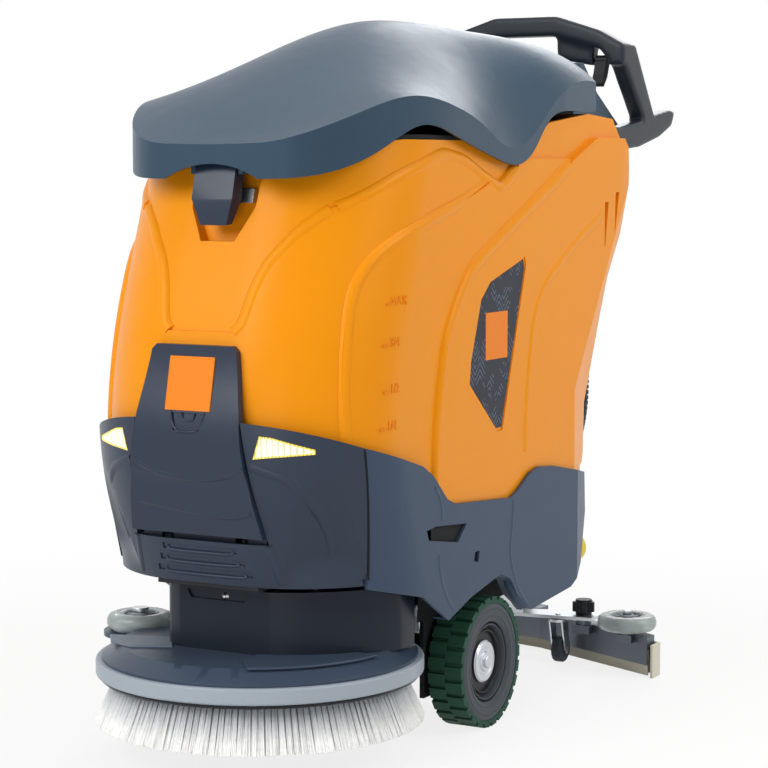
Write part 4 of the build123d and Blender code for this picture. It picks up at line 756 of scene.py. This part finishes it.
# brush: one tuft of strands per row, copied round the disc and ruffled at the tips
brushBuild = {"tufts": 150, "strands": 6, "rootZ": 0.124, "tipZ": 0.055, "width": 0.0011, "spread": 0.0062,
              "fan": 1.3, "lean": 0.6, "ruffle": 0.001, "ruffleTall": 0.012, "droop": 0.001}
brushRows = [(0.2245, 0.2555, 0.0), (0.2195, 0.2500, 0.5), (0.2130, 0.2430, 0.0), (0.2030, 0.2280, 0.5),
             (0.1900, 0.2080, 0.0), (0.1720, 0.1840, 0.5), (0.1500, 0.1580, 0.0)]


def buildBristles(values):
    strands = []
    step = 2 * math.pi / values["tufts"]
    fall = values["rootZ"] - values["tipZ"]
    for root, tip, share in brushRows:
        for strandIndex in range(values["strands"]):
            aside = values["spread"] * ((strandIndex + 0.5) / values["strands"] - 0.5)
            deselect()
            bpy.ops.mesh.primitive_cone_add(
                vertices=4, radius1=values["width"], radius2=values["width"],
                depth=math.hypot(tip - root, fall),
                location=((root + tip) / 2, aside * values["fan"], (values["rootZ"] + values["tipZ"]) / 2),
                rotation=(math.atan2(aside * values["lean"], fall), -math.atan2(tip - root, fall), 0))
            strand = bpy.context.object
            settle(strand)
            editAll(strand)
            bpy.ops.transform.rotate(value=-share * step, orient_axis="Z", center_override=(0, 0, 0))
            leaveEdit()
            strands.append(strand)
    tuft = joinPieces(strands, "brushStrands")
    ringCopies(tuft, values["tufts"])
    editAll(tuft)
    bpy.ops.transform.translate(value=(0, brushAxis, 0))
    pickWhere(tuft, "VERT", lambda vertex: vertex.co.z < values["tipZ"] + values["ruffleTall"])
    bpy.ops.transform.vertex_random(offset=values["ruffle"], uniform=1.0, normal=0.0, seed=7)
    leaveEdit()
    for vertex in tuft.data.vertices:
        vertex.co.z = max(vertex.co.z, values["tipZ"] - values["droop"])
    smooth(tuft, 60)
    return tuft


bristles = buildBristles(brushBuild)
dress(bristles, "brush", "bristleFibre", "bristle", "brush_bristles")
print("bristles made")

# blank badge on the hatch
badgeBuild = {"half": 0.0395, "aside": 20, "low": 553, "high": 632, "thick": 0.003, "edge": 0.0012,
              "frame": 0.0022, "step": 0.0008, "sunk": 0.0006, "facing": -0.7}


def buildBadge(values):
    lowSpot, highSpot = (frontAt(skins["front_hatch"], values["aside"], values[key])[0]
                         for key in ("low", "high"))
    middle = (lowSpot + highSpot) / 2
    lean = math.atan2(highSpot.y - lowSpot.y, highSpot.z - lowSpot.z)
    deselect()
    middle.x = 0
    bpy.ops.mesh.primitive_cube_add(size=1, location=middle, rotation=(math.pi / 2 - lean, 0, 0))
    badge = newest("hatchBadge")
    badge.scale = (2 * values["half"], (highSpot - lowSpot).length, values["thick"])
    settle(badge)
    editAll(badge)
    pickWhere(badge, "FACE", lambda face: face.normal.y < values["facing"])
    bpy.ops.mesh.inset(thickness=values["frame"], depth=0)
    bpy.ops.mesh.inset(thickness=values["step"], depth=-values["sunk"])
    leaveEdit()
    roundEdges(badge, values["edge"], 3)
    evenShade(badge)
    return badge


badge = buildBadge(badgeBuild)
dress(badge, "hatch", "badgeOrange", "tank_orange")

# raised rim round the finger recess, with a small catch inside it
fingerRims = {"fingerRim": ([(-30, 552), (-27, 540), (-22, 528), (-14, 522.5), (14, 522.5), (22, 528),
                             (27, 540), (30, 552)], 0.0022),
              "fingerCatch": ([(-11, 551), (-8, 541), (-5, 538), (8, 538), (11, 541), (13, 551)], 0.0016)}
for name, (line, thick) in fingerRims.items():
    spots = [frontAt(skins["front_hatch"], x, z)[0] for x, z in line]
    dress(bead(name, spots, thick), "hatch", "hatchGrey", "cover_grey")
print("badge made")

# lamp lenses: the node's own form, with a lit core sunk inside a yellower rim
lampBuild = {"rim": 0.0022, "sink": 0.0008, "facing": -0.25}


def buildLamps(values):
    lens = mergedCopy("headlights", 3.0)
    editAll(lens)
    pickWhere(lens, "FACE", lambda face: face.normal.y < values["facing"])
    bpy.ops.mesh.inset(thickness=values["rim"], depth=-values["sink"])
    leaveEdit()
    core = [face.index for face in lens.data.polygons if face.select]
    smooth(lens, 40)
    dress(lens, "chassis", "lampRim", "lamp", "headlights")
    lens.data.materials.append(finishes["lampCore"])
    for index in core:
        lens.data.polygons[index].material_index = 1


buildLamps(lampBuild)
print("lamps made")

# rollers: clear soft tread, pale hub with spokes over dark pockets, and a nut
rollerSpots = {
    "end_roller_left": {"spot": (284, 788, 94), "radius": 53.0, "half": 14.0, "nut": True},
    "end_roller_right": {"spot": (-284, 788, 94), "radius": 53.0, "half": 14.0, "nut": True},
    "guide_roller": {"spot": (-245, 24, 178.3), "radius": 54.0, "half": 14.0, "nut": False},
}
rollerBuild = {"hub": 0.031, "bore": 0.009, "foot": 0.001, "web": 0.009, "wall": 0.006, "boss": 0.005,
               "pocket": (-0.001, 0.0004), "spokes": 6, "spokeWide": 0.005, "spokeEnds": (0.003, 0.005),
               "spokeDrop": 0.004, "edge": 0.0008, "nut": 0.0085, "nutTall": 0.007, "nutLift": 0.0045}
# steps aside from the tread, the hub or the bore, and down from the face
treadShoulder = [(0.011, 0.0), (0.005, 0.002), (0.0015, 0.006), (0.0, 0.011)]
treadLip = [(0.003, 0.0), (0.0, 0.002)]
hubRim = [(0.0, 0.0025), (0.003, 0.001), (0.005, 0.003)]
hubBoss = [(0.004, 0.002), (0.002, 0.0), (0.0, 0.0)]


def buildTread(node, spot, outer, half, hub):
    tread = [(hub, -half)] + [(outer - side, -half + up) for side, up in treadShoulder]
    tread += [(outer - side, half - down) for side, down in reversed(treadShoulder)]
    tread += [(hub + side, half - down) for side, down in treadLip]
    piece = spun(node + "Tread", tread, spot, sides=96)
    smooth(piece, 40)
    dress(piece, bodyOf[node], "rollerClear", "roller", node)


def buildHub(node, spot, half, values):
    hub, bore, web = values["hub"], values["bore"], half - values["web"]
    inner, outer = bore + values["boss"], hub - values["wall"]
    cup = [(bore, -half + values["foot"]), (hub, -half + values["foot"])]
    cup += [(hub - side, half - down) for side, down in hubRim] + [(outer, web), (inner, web)]
    cup += [(bore + side, half - down) for side, down in hubBoss]
    ring = spun(node + "Hub", cup, Vector((0, 0, 0)), sides=64)
    near, far = bore + values["spokeEnds"][0], hub - values["spokeEnds"][1]
    top = half - values["spokeDrop"]
    deselect()
    bpy.ops.mesh.primitive_cube_add(size=1, location=((near + far) / 2, 0, (web + top) / 2))
    spoke = bpy.context.object
    spoke.scale = (far - near, values["spokeWide"], top - web)
    settle(spoke)
    roundEdges(spoke, values["edge"])
    ringCopies(spoke, values["spokes"])
    ring = joinPieces([ring, spoke], node + "Hub")
    ring.location = spot
    settle(ring)
    smooth(ring, 35)
    dress(ring, bodyOf[node], "hubGrey", "light_grey")
    low, high = (web + lift for lift in values["pocket"])
    floor = spun(node + "Pocket", rectangle(inner, outer, low, high), spot, sides=48)
    dress(floor, bodyOf[node], "rimBlack", "black_plastic")


def buildNut(node, spot, half, values):
    deselect()
    bpy.ops.mesh.primitive_cylinder_add(vertices=6, radius=values["nut"], depth=values["nutTall"],
                                        location=spot + Vector((0, 0, half + values["nutLift"])))
    nut = newest(node + "Nut")
    settle(nut)
    roundEdges(nut, values["edge"])
    smooth(nut)
    dress(nut, "squeegee", "steelBright", "steel")


for node, values in rollerSpots.items():
    spot, outer, half = place(*values["spot"]), values["radius"] / 1000, values["half"] / 1000
    buildTread(node, spot, outer, half, rollerBuild["hub"])
    buildHub(node, spot, half, rollerBuild)
    if values["nut"]:
        buildNut(node, spot, half, rollerBuild)
print("rollers made")

# wheel faces: flat sidewall ring, beads round the dish and a turned hub plate
wheelBuild = {"spot": (0, 310, 107), "face": 246.0}
sidewall = [(65, -9), (96.2, -3), (96.2, 0.6), (93, 1.4), (88, 1.6), (87, 0.9), (86, 1.6), (76, 1.0),
            (75, 0.2), (74, 0.9), (69, -0.2), (66, -2.5)]
dishBead = [(57, -14), (63, -12), (63, -4.5), (61.8, -3), (60.2, -3.4), (59, -6)]
innerBead = [(47, -14.5), (53, -14.5), (53, -10), (51.5, -8.5), (49.5, -8.8), (48, -11)]
hubPlate = [(0, -10.2), (33, -10.2), (33.5, -9), (32, -7.8), (24, -7.2), (22, -8.4), (17, -8.4),
            (16, -6.4), (0, -6.4)]
wheelParts = {"Sidewall": (sidewall, "sidewallGrey", "rim_dark"),
              "DishBead": (dishBead, "sidewallGrey", "rim_dark"),
              "InnerBead": (innerBead, "rimBlack", "rim_dark"),
              "HubPlate": (hubPlate, "steelBright", "steel")}


def buildWheelFaces(values):
    for side, sign in (("left", 1), ("right", -1)):
        for name, (outline, finish, slot) in wheelParts.items():
            points = [(radius / 1000, (values["face"] + height) / 1000) for radius, height in outline]
            piece = spun(side + name, points, place(*values["spot"]), (0, sign * math.pi / 2, 0), 96)
            smooth(piece, 28)
            dress(piece, "drive_wheel_" + side, finish, slot)


buildWheelFaces(wheelBuild)
print("wheel faces made")

# deck trim: dark lip under the splash ring, pale pad by the guide roller, raised ledge and a screw
deckBuild = {"lip": [(232, 123), (248, 123), (251, 126), (251, 129.5), (232, 129.5)], "root": 175.0,
             "pad": [(-222, -92), (-126, -60), (-84, -119), (-140, -152), (-190, -134)],
             "padThick": 0.0035, "padEdge": 0.0015,
             "ledge": [(67, -154), (62, -112), (112, -84), (160, -24), (190, -22)], "ledgeRadius": 224.0,
             "ledgeTurns": (84, 74, 64, 54, 44, 34, 27), "ledgeThick": 0.0045, "ledgeEdge": 0.002,
             "screw": (3, -105.5, 261), "screwFoot": 0.0065, "screwTip": 0.002, "screwTall": 0.004}


def buildDeckTrim(values):
    outline = [(radius / 1000, z / 1000) for radius, z in values["lip"]]
    lip = spun("ringLip", outline, place(0, 0, 0), sides=128)
    smooth(lip, 40)
    dress(lip, "deck", "rimBlack", "black_plastic")
    turns = [math.radians(turn) for turn in values["ledgeTurns"]]
    reach = values["ledgeRadius"]
    rim = [(reach * math.sin(turn), -reach * math.cos(turn)) for turn in turns]
    # the ledge takes the lighter copy of the deck grey: painted light
    for name, outline, key, finish in (("rollerPad", values["pad"], "pad", "padGrey"),
                                       ("deckLedge", values["ledge"] + rim, "ledge", "deckPaintedLight")):
        corners = [place(x, d, values["root"]) for x, d in outline]
        plate = slab(name, corners, (0, 0, values[key + "Thick"]))
        roundEdges(plate, values[key + "Edge"], 3)
        evenShade(plate)
        dress(plate, "deck", finish, "cover_grey")
    deselect()
    bpy.ops.mesh.primitive_cone_add(
        vertices=24, radius1=values["screwFoot"], radius2=values["screwTip"], depth=values["screwTall"],
        location=place(*values["screw"]), rotation=(math.pi / 2, 0, 0))
    screw = newest("towerScrew")
    settle(screw)
    smooth(screw)
    dress(screw, "deck", "steelBright", "steel")


buildDeckTrim(deckBuild)
print("deck trim made")

# side label: dark film with an amber border and a blank orange square
labelBuild = {"outline": [(427, 764), (432, 750), (346, 484), (326, 484), (228, 566), (233, 604),
                          (268, 700), (304, 730)],
              "probe": (330, 620), "border": 0.99, "borderSink": 0.3, "borderThick": 0.00072,
              "film": 0.965, "filmThick": 0.0012, "filmEdge": 0.0004,
              "square": (286, 365, 602, 678), "squareLift": 0.5, "squareThick": 0.0013, "squareEdge": 0.0003}


def buildLabel(values):
    spot, normal = flankAt(skins["solution_tank"], 1, *values["probe"])
    face = spot.x * 1000
    outline = values["outline"]
    middleD, middleZ = (sum(point[axis] for point in outline) / len(outline) for axis in (0, 1))

    def corners(share, x):
        return [place(x, middleD + (d - middleD) * share, middleZ + (z - middleZ) * share)
                for d, z in outline]

    edges = corners(values["border"], face - values["borderSink"])
    border = slab("labelBorder", edges, (values["borderThick"], 0, 0))
    dress(border, "chassis", "markAmber", "tank_orange")
    film = slab("labelFilm", corners(values["film"], face), (values["filmThick"], 0, 0))
    roundEdges(film, values["filmEdge"])
    dress(film, "chassis", "labelFilm", "display")
    edges = [place(face + values["squareLift"], d, z) for d, z in rectangle(*values["square"])]
    square = slab("labelSquare", edges, (values["squareThick"], 0, 0))
    roundEdges(square, values["squareEdge"])
    dress(square, "chassis", "badgeOrange", "tank_orange")


buildLabel(labelBuild)

# raised level marks on the flank: a bar and its measure, in a deeper orange than the tank as painted shade
# of their relief
levelMarks = {"MAX": (-25, 711, 14.0), "3/4": (-40, 650, 15.0), "1/2": (-43, 581, 15.0),
              "1/4": (-52, 526, 15.0)}
markBuild = {"letter": 0.72, "gap": 20, "type": 1.3, "sink": 0.0006, "proud": 0.0014, "edge": 0.0002,
             "bar": (-0.014, 0.002), "barLow": -0.0055, "barHigh": -0.0025, "barThick": 0.0016}


def buildMarks(values):
    pieces = []
    for words, (d, z, tall) in levelMarks.items():
        wide = len(words) * tall * values["letter"]
        spot, normal = flankAt(skins["solution_tank"], 1, d + values["gap"] + wide / 2, z)
        lean = math.pi / 2 + math.atan2(normal.y, normal.x)
        along = Vector((math.cos(lean), math.sin(lean), 0))
        root = spot - normal * values["sink"]
        deselect()
        bpy.ops.object.text_add(location=root, rotation=(math.pi / 2, 0, lean))
        text = bpy.context.object.data
        text.body = words
        text.align_x = "CENTER"
        text.align_y = "CENTER"
        text.size = tall / 1000 * values["type"]
        text.extrude = values["proud"]
        text.bevel_depth = values["edge"]
        bpy.ops.object.convert(target="MESH")
        settle(bpy.context.object)
        pieces.append(bpy.context.object)
        near, far = (end - wide / 2000 for end in values["bar"])
        ends = [root + along * run + Vector((0, 0, up))
                for run, up in rectangle(near, far, values["barLow"], values["barHigh"])]
        pieces.append(slab("markBar", ends, normal * values["barThick"]))
    marks = joinPieces(pieces, "levelMarks")
    smooth(marks, 30)
    dress(marks, "chassis", "markPaintedShade", "tank_orange")


# rounded crests along the moulded steps of the tank, on both flanks
crestLines = {
    "flankOne": [(-96, 470), (-98, 573), (-76, 700), (-38, 764), (30, 805), (167, 844), (310, 888)],
    "flankTwo": [(120, 420), (124, 507), (140, 590), (161, 656), (228, 738), (297, 776),
                 (443, 840), (606, 914)],
    "rearPanel": [(432, 440), (437, 521), (450, 600), (465, 662), (500, 708), (556, 743),
                  (640, 786), (734, 825)],
    "chevron": [(-54, 850), (41, 897), (157, 931), (236, 920), (353, 872), (411, 907)],
}
panelLine = [(58, 668), (71, 682), (81, 727), (95, 767), (117, 797), (137, 822), (166, 847)]
crestBuild = {"radius": 0.014, "sink": 0.0116, "steps": 8, "straightSteps": 12}


# smooth run between the middle two of four values
def smoothRun(t, a, b, c, d):
    square, cube = 2 * a - 5 * b + 4 * c - d, 3 * b - a - 3 * c + d
    return 0.5 * (2 * b + (c - a) * t + square * t ** 2 + cube * t ** 3)


# points on a smooth line through the given ones
def through(points, steps):
    padded = [points[0]] + list(points) + [points[-1]]
    line = [tuple(smoothRun(step / steps, *values) for values in zip(*four))
            for four in zip(padded, padded[1:], padded[2:], padded[3:]) for step in range(steps)]
    return line + [points[-1]]


# points between the given ones, on straight runs
def straight(points, steps):
    line = [tuple(a + (b - a) * step / steps for a, b in zip(start, end))
            for start, end in zip(points, points[1:]) for step in range(steps)]
    return line + [points[-1]]


# evens out a run of points, with its ends kept
def evenLine(spots, passes=6):
    for turn in range(passes):
        inner = [(before + 2 * spot + after) / 4
                 for before, spot, after in zip(spots, spots[1:], spots[2:])]
        spots = [spots[0]] + inner + [spots[-1]]
    return spots


# sunk points where rays meet a piece, without those that miss or jump through an opening
def laidLine(piece, starts, direction, sink, jump=0.03):
    spots = []
    for start in starts:
        hit, spot, normal, index = piece.ray_cast(start, direction)
        if hit and (not spots or (spot - normal * sink - spots[-1]).length < jump):
            spots.append(spot - normal * sink)
    return evenLine(spots)


def flankBead(name, piece, sign, line, radius, sink):
    starts = [besideAt(sign, d, z) for d, z in line]
    return bead(name, laidLine(piece, starts, Vector((-sign, 0, 0)), sink), radius)


def frontBead(name, piece, sign, line, radius, sink, jump=0.03):
    starts = [beforeAt(sign * x, z) for x, z in line]
    return bead(name, laidLine(piece, starts, ahead, sink, jump), radius)


def buildCrests(values):
    tank, radius, sink = skins["solution_tank"], values["radius"], values["sink"]
    pieces = []
    for sign in (1, -1):
        for name, line in crestLines.items():
            sharp = name == "chevron"
            run = straight(line, values["straightSteps"]) if sharp else through(line, values["steps"])
            pieces.append(flankBead(name, tank, sign, run, radius, sink))
        run = through(panelLine, values["steps"])
        pieces.append(frontBead("panelCrest", tank, sign, run, radius, sink))
    dress(joinPieces(pieces, "tankCrests"), "chassis", "tankOrange", "tank_orange")


buildCrests(crestBuild)

# black sheet behind the vent in each side of the base: painted shade where its inside lies in shadow
ventBuild = {"span": (96, 280, 286, 370), "probe": (300, 300), "back": 5.6, "thick": 0.001}


def buildVentShadeSheets(values):
    for sign in (1, -1):
        spot, normal = flankAt(skins["base_shell"], sign, *values["probe"])
        x = spot.x * 1000 - sign * values["back"]
        corners = [place(x, d, z) for d, z in rectangle(*values["span"])]
        shadeSheet = slab("ventShadeSheet", corners, (-sign * values["thick"], 0, 0))
        dress(shadeSheet, "chassis", "sealAndShadeBlack", "seal")


buildVentShadeSheets(ventBuild)

# base trim: creases, a black seam bead and a black sheet inside the arch as painted shade, louvre lips, arch
# flange, backing behind the hatch gap
baseLines = {"archCreaseTop": [(99, 419), (112, 406), (121, 390), (123, 366)],
             "archCreaseFoot": [(112, 312), (116, 290), (124, 268), (138, 244), (159, 221)],
             "rearCrease": [(376, 366), (369, 314), (364, 274), (393, 217), (429, 184)]}
coverLines = {"cheekCrease": [(117, 362), (121, 325), (125, 296)],
              "cheekArc": [(106, 476), (134, 466), (162, 450), (180, 412), (187, 367), (183, 330)]}
hatchLines = {"upperCrease": [(-86, 472), (-46, 457), (14, 450), (74, 461), (97, 474)],
              "lowerCrease": [(-94, 413), (-10, 402), (63, 396), (103, 405)]}
louvreLips = [(-58, 340, 58), (-64, 322, 64), (-70, 304, 72)]
archLine = [(446, 172), (392, 205), (366, 236), (330, 250), (222, 229), (146, 205)]
baseBuild = {"radius": 0.013, "sink": 0.0116, "coverSink": 0.0104, "steps": 8,
             "fold": 0.008, "foldSink": 0.0069,
             "lip": 0.0026, "lipSink": 0.0008, "lipSteps": 4, "lipJump": 0.2,
             "lipHook": (2, 4), "lipTurn": (8, 3),
             "seamEnds": ((-86, 496), (-54, 297)), "seam": 0.0016, "seamSink": 0.001, "seamAside": 3.5,
             "seamSteps": 20, "outer": 251.0, "inner": 228.0, "flange": 3.0,
             # black sheet inside the arch, standing in for its shade
             "shadeSheet": ((180, 188), (440, 188), (450, 180), (535, 186), (535, 345), (180, 345)),
             "shadeSheetX": 181.2, "shadeSheetThick": 0.0012,
             "gapBacks": ((-110, -77), (-55, 55), (77, 110)), "gapD": -155.0,
             "gapLow": 348.0, "gapHigh": 374.0, "gapThick": 0.002}


# along the seam between front cover and shell, found on the shell just behind it
def seamLine(shell, sign, values):
    aside = values["seamAside"]
    spots = []
    for d, z in straight(values["seamEnds"], values["seamSteps"]):
        spot, normal = flankAt(shell, sign, d + aside, z)
        spots.append(spot - normal * values["seamSink"] - ahead * aside / 1000)
    return evenLine(spots)


def buildBaseTrim(values):
    shell, cover, hatch = skins["base_shell"], skins["base_front_cover"], skins["front_hatch"]
    creases, shadePieces, lips, folds = [], [], [], []
    raised = [(d, z + values["flange"]) for d, z in reversed(archLine)]
    for sign in (1, -1):
        inward = Vector((-sign, 0, 0))
        for name, line in baseLines.items():
            run = through(line, values["steps"])
            creases.append(flankBead(name, shell, sign, run, values["radius"], values["sink"]))
        # black bead along the seam: painted shade in the gap between cover and shell
        shadePieces.append(bead("seamShade", seamLine(shell, sign, values), values["seam"]))
        corners = [place(sign * values["outer"], d, z) for d, z in archLine + raised]
        creases.append(slab("archFlange", corners, inward * (values["outer"] - values["inner"]) / 1000))
        # black sheet inside the arch: painted shade where the base's inside lies in shadow
        corners = [place(sign * values["shadeSheetX"], d, z) for d, z in values["shadeSheet"]]
        shadePieces.append(slab("archShadeSheet", corners, (sign * values["shadeSheetThick"], 0, 0)))
    for name, line in coverLines.items():
        run = through(line, values["steps"])
        for sign in (1, -1):
            lips.append(frontBead(name, cover, sign, run, values["radius"], values["coverSink"]))
    for name, line in hatchLines.items():
        run = through(line, values["steps"])
        folds.append(frontBead(name, hatch, 1, run, values["fold"], values["foldSink"]))
    dress(joinPieces(folds, "hatchFolds"), "hatch", "hatchGrey", "cover_grey")
    (hook, rise), (turn, fall) = values["lipHook"], values["lipTurn"]
    for near, z, far in louvreLips:
        line = [(near + hook, z + rise), (near, z), (near + turn, z - fall)]
        line += [(far - turn, z - fall), (far, z), (far - hook, z + rise)]
        run = through(line, values["lipSteps"])
        sizes = values["lip"], values["lipSink"], values["lipJump"]
        lips.append(frontBead("louvreLip", cover, 1, run, *sizes))
    for near, far in values["gapBacks"]:
        edges = rectangle(near, far, values["gapLow"], values["gapHigh"])
        corners = [place(x, values["gapD"], z) for x, z in edges]
        lips.append(slab("gapBack", corners, ahead * values["gapThick"]))
    # the cover trim takes the darker copy of the cover plastic: painted shade
    for pieces, name, finish in ((creases, "baseTrim", "coverGrey"), (lips, "coverTrim", "coverPaintedShade")):
        trim = joinPieces(pieces, name)
        smooth(trim, 40)
        dress(trim, "chassis", finish, "cover_grey")
    # the black seam beads and arch sheets join as painted shade
    dress(joinPieces(shadePieces, "baseShades"), "chassis", "sealAndShadeBlack", "seal")


# fills the foot of each cheek hollow, so that the cover's lower edge runs on
cheekBuild = {"centre": (51, 55), "from": 33.5, "to": 71, "clear": 26, "columns": 30, "low": 288.3,
              "high": 346.0, "rows": 10, "thick": 0.002, "out": 0.6, "lift": 1.5, "sink": 0.0003}


def buildCheeks(values):
    cover, shell = skins["base_front_cover"], skins["base_shell"]
    columns, rows = values["columns"], values["rows"]
    start = (values["from"] - values["clear"]) / (values["to"] - values["clear"])
    pieces = []
    for sign in (1, -1):
        def reach(body, turn, z):
            away = Vector((sign * math.cos(turn), -math.sin(turn), 0))
            centre = place(sign * values["centre"][0], values["centre"][1], z)
            spot, normal = surfaceAt(body, centre + away * values["out"], -away)
            return centre, away, (spot - centre).dot(away)

        span = values["to"] - values["from"]
        turns = [math.radians(values["from"] + span * column / columns) for column in range(columns + 1)]
        deselect()
        bpy.ops.mesh.primitive_grid_add(x_subdivisions=columns, y_subdivisions=rows, location=(0, 0, 0))
        patch = newest("cheekFoot")
        for index, vertex in enumerate(patch.data.vertices):
            column, row = index % (columns + 1), index // (columns + 1)
            share = row / rows
            z = values["low"] + (values["high"] - values["low"]) * share
            ease = 1 - share * share * (3 - 2 * share)
            look = max(z, values["low"] + values["lift"])
            first = reach(shell, math.radians(values["clear"]), look)[2]
            last = reach(cover, turns[-1], look)[2]
            centre, away, here = reach(cover, turns[column], look)
            full = first + (last - first) * (start + (1 - start) * column / columns)
            vertex.co = centre + away * (here + (full - here) * ease - values["thick"] / 2 - values["sink"])
            vertex.co.z = z / 1000
        modify(patch, "SOLIDIFY", thickness=values["thick"], offset=0)
        outward(patch)
        pieces.append(patch)
    cheeks = joinPieces(pieces, "cheekFeet")
    smooth(cheeks, 40)
    # dressed in the darker copy of the cover plastic: painted shade
    dress(cheeks, "chassis", "coverPaintedShade", "cover_grey")


buildBaseTrim(baseBuild)
buildCheeks(cheekBuild)
print("base trim made")
buildMarks(markBuild)
print("label and marks made")

# camera at the photograph's place
cameraPlace = {"turn": 32.23, "height": 908.0, "away": 3547.0, "focal": 2300.0, "yaw": -3.12, "pitch": 5.35,
               "pixels": 768, "sensor": 36.0, "clip": 60.0}


def buildCamera(values):
    turn, aim, tip = (math.radians(values[key]) for key in ("turn", "yaw", "pitch"))
    spot = place(values["away"] * math.sin(turn), -values["away"] * math.cos(turn), values["height"])
    aim += turn
    ahead = Vector((-math.sin(aim) * math.cos(tip), math.cos(aim) * math.cos(tip), -math.sin(tip)))
    right = Vector((math.cos(aim), math.sin(aim), 0))
    up = right.cross(ahead)
    deselect()
    bpy.ops.object.camera_add()
    camera = newest("mainCamera")
    camera.data.sensor_width = values["sensor"]
    camera.data.lens = values["focal"] / values["pixels"] * values["sensor"]
    camera.data.clip_end = values["clip"]
    camera.matrix_world = Matrix.Translation(spot) @ Matrix((right, up, -ahead)).transposed().to_4x4()
    bpy.context.scene.camera = camera


buildCamera(cameraPlace)

# pale floor that keeps a soft shadow, and a white surround
studio = {"floorSize": 60.0, "floorDrop": 0.0005, "worldLight": 0.3, "whiteNear": 0.82, "nearReach": 0.75,
          "farReach": 1.9}


def backgroundRay(tree):
    rays = tree.nodes.new("ShaderNodeLightPath")
    seen = mathNode(tree, "MAXIMUM", rays.outputs["Is Camera Ray"], rays.outputs["Is Glossy Ray"])
    return mathNode(tree, "MAXIMUM", seen, rays.outputs["Is Transmission Ray"])


def buildFloor(values):
    deselect()
    bpy.ops.mesh.primitive_plane_add(size=values["floorSize"], location=(0, 0, -values["floorDrop"]))
    floor = newest("studioFloor")
    material, tree, shader, coords = newFinish("floorPale")
    tone = tintNode(tree, noiseNode(tree, coords, 2.0), (0.84, 0.84, 0.84, 1), (0.88, 0.88, 0.88, 1))
    feed(tree, shader, {"Base Color": tone, "Roughness": 0.9})
    reach = tree.nodes.new("ShaderNodeVectorMath")
    reach.operation = "LENGTH"
    feed(tree, reach, {0: coords})
    fade = tree.nodes.new("ShaderNodeMapRange")
    fade.interpolation_type = "SMOOTHSTEP"
    feed(tree, fade, {"Value": reach.outputs["Value"], "From Min": values["nearReach"],
                      "From Max": values["farReach"], "To Min": values["whiteNear"], "To Max": 1.0})
    glow = tree.nodes.new("ShaderNodeEmission")
    blend = tree.nodes.new("ShaderNodeMixShader")
    share = times(tree, backgroundRay(tree), fade.outputs["Result"])
    feed(tree, blend, {0: share, 1: shader.outputs[0], 2: glow.outputs[0]})
    feed(tree, tree.nodes["Material Output"], {"Surface": blend.outputs[0]})
    floor.data.materials.append(material)


def buildWorld(values):
    world = bpy.data.worlds.new("studioWorld")
    bpy.context.scene.world = world
    world.use_nodes = True
    tree = world.node_tree
    strength = times(tree, backgroundRay(tree), 1 - values["worldLight"])
    strength = plus(tree, strength, values["worldLight"])
    feed(tree, tree.nodes["Background"], {"Color": (1, 1, 1, 1), "Strength": strength})


buildFloor(studio)
buildWorld(studio)

# soft lamps: place, aim, size and power
lamps = {
    "frontSoft": ((-1.0, -3.4, 2.5), (0, -0.4, 0.7), 2.0, 80),
    "sideSoft": ((3.4, 0.4, 2.8), (0, 0, 0.6), 1.8, 60),
    "topSoft": ((0.2, 0.2, 3.6), (0, 0, 0.8), 2.4, 40),
    "rimSoft": ((-0.6, 3.2, 2.4), (0, 0, 0.8), 1.8, 30),
    "lowSoft": ((0.9, -3.4, 0.35), (0, -0.5, 0.1), 1.2, 12),
}
for name, (spot, aim, size, power) in lamps.items():
    deselect()
    bpy.ops.object.light_add(type="AREA", location=spot)
    lamp = newest(name)
    lamp.data.size = size
    lamp.data.energy = power
    lamp.rotation_euler = (Vector(aim) - Vector(spot)).to_track_quat("-Z", "Y").to_euler()

bpy.context.scene.view_settings.view_transform = "Standard"
print("studio ready")
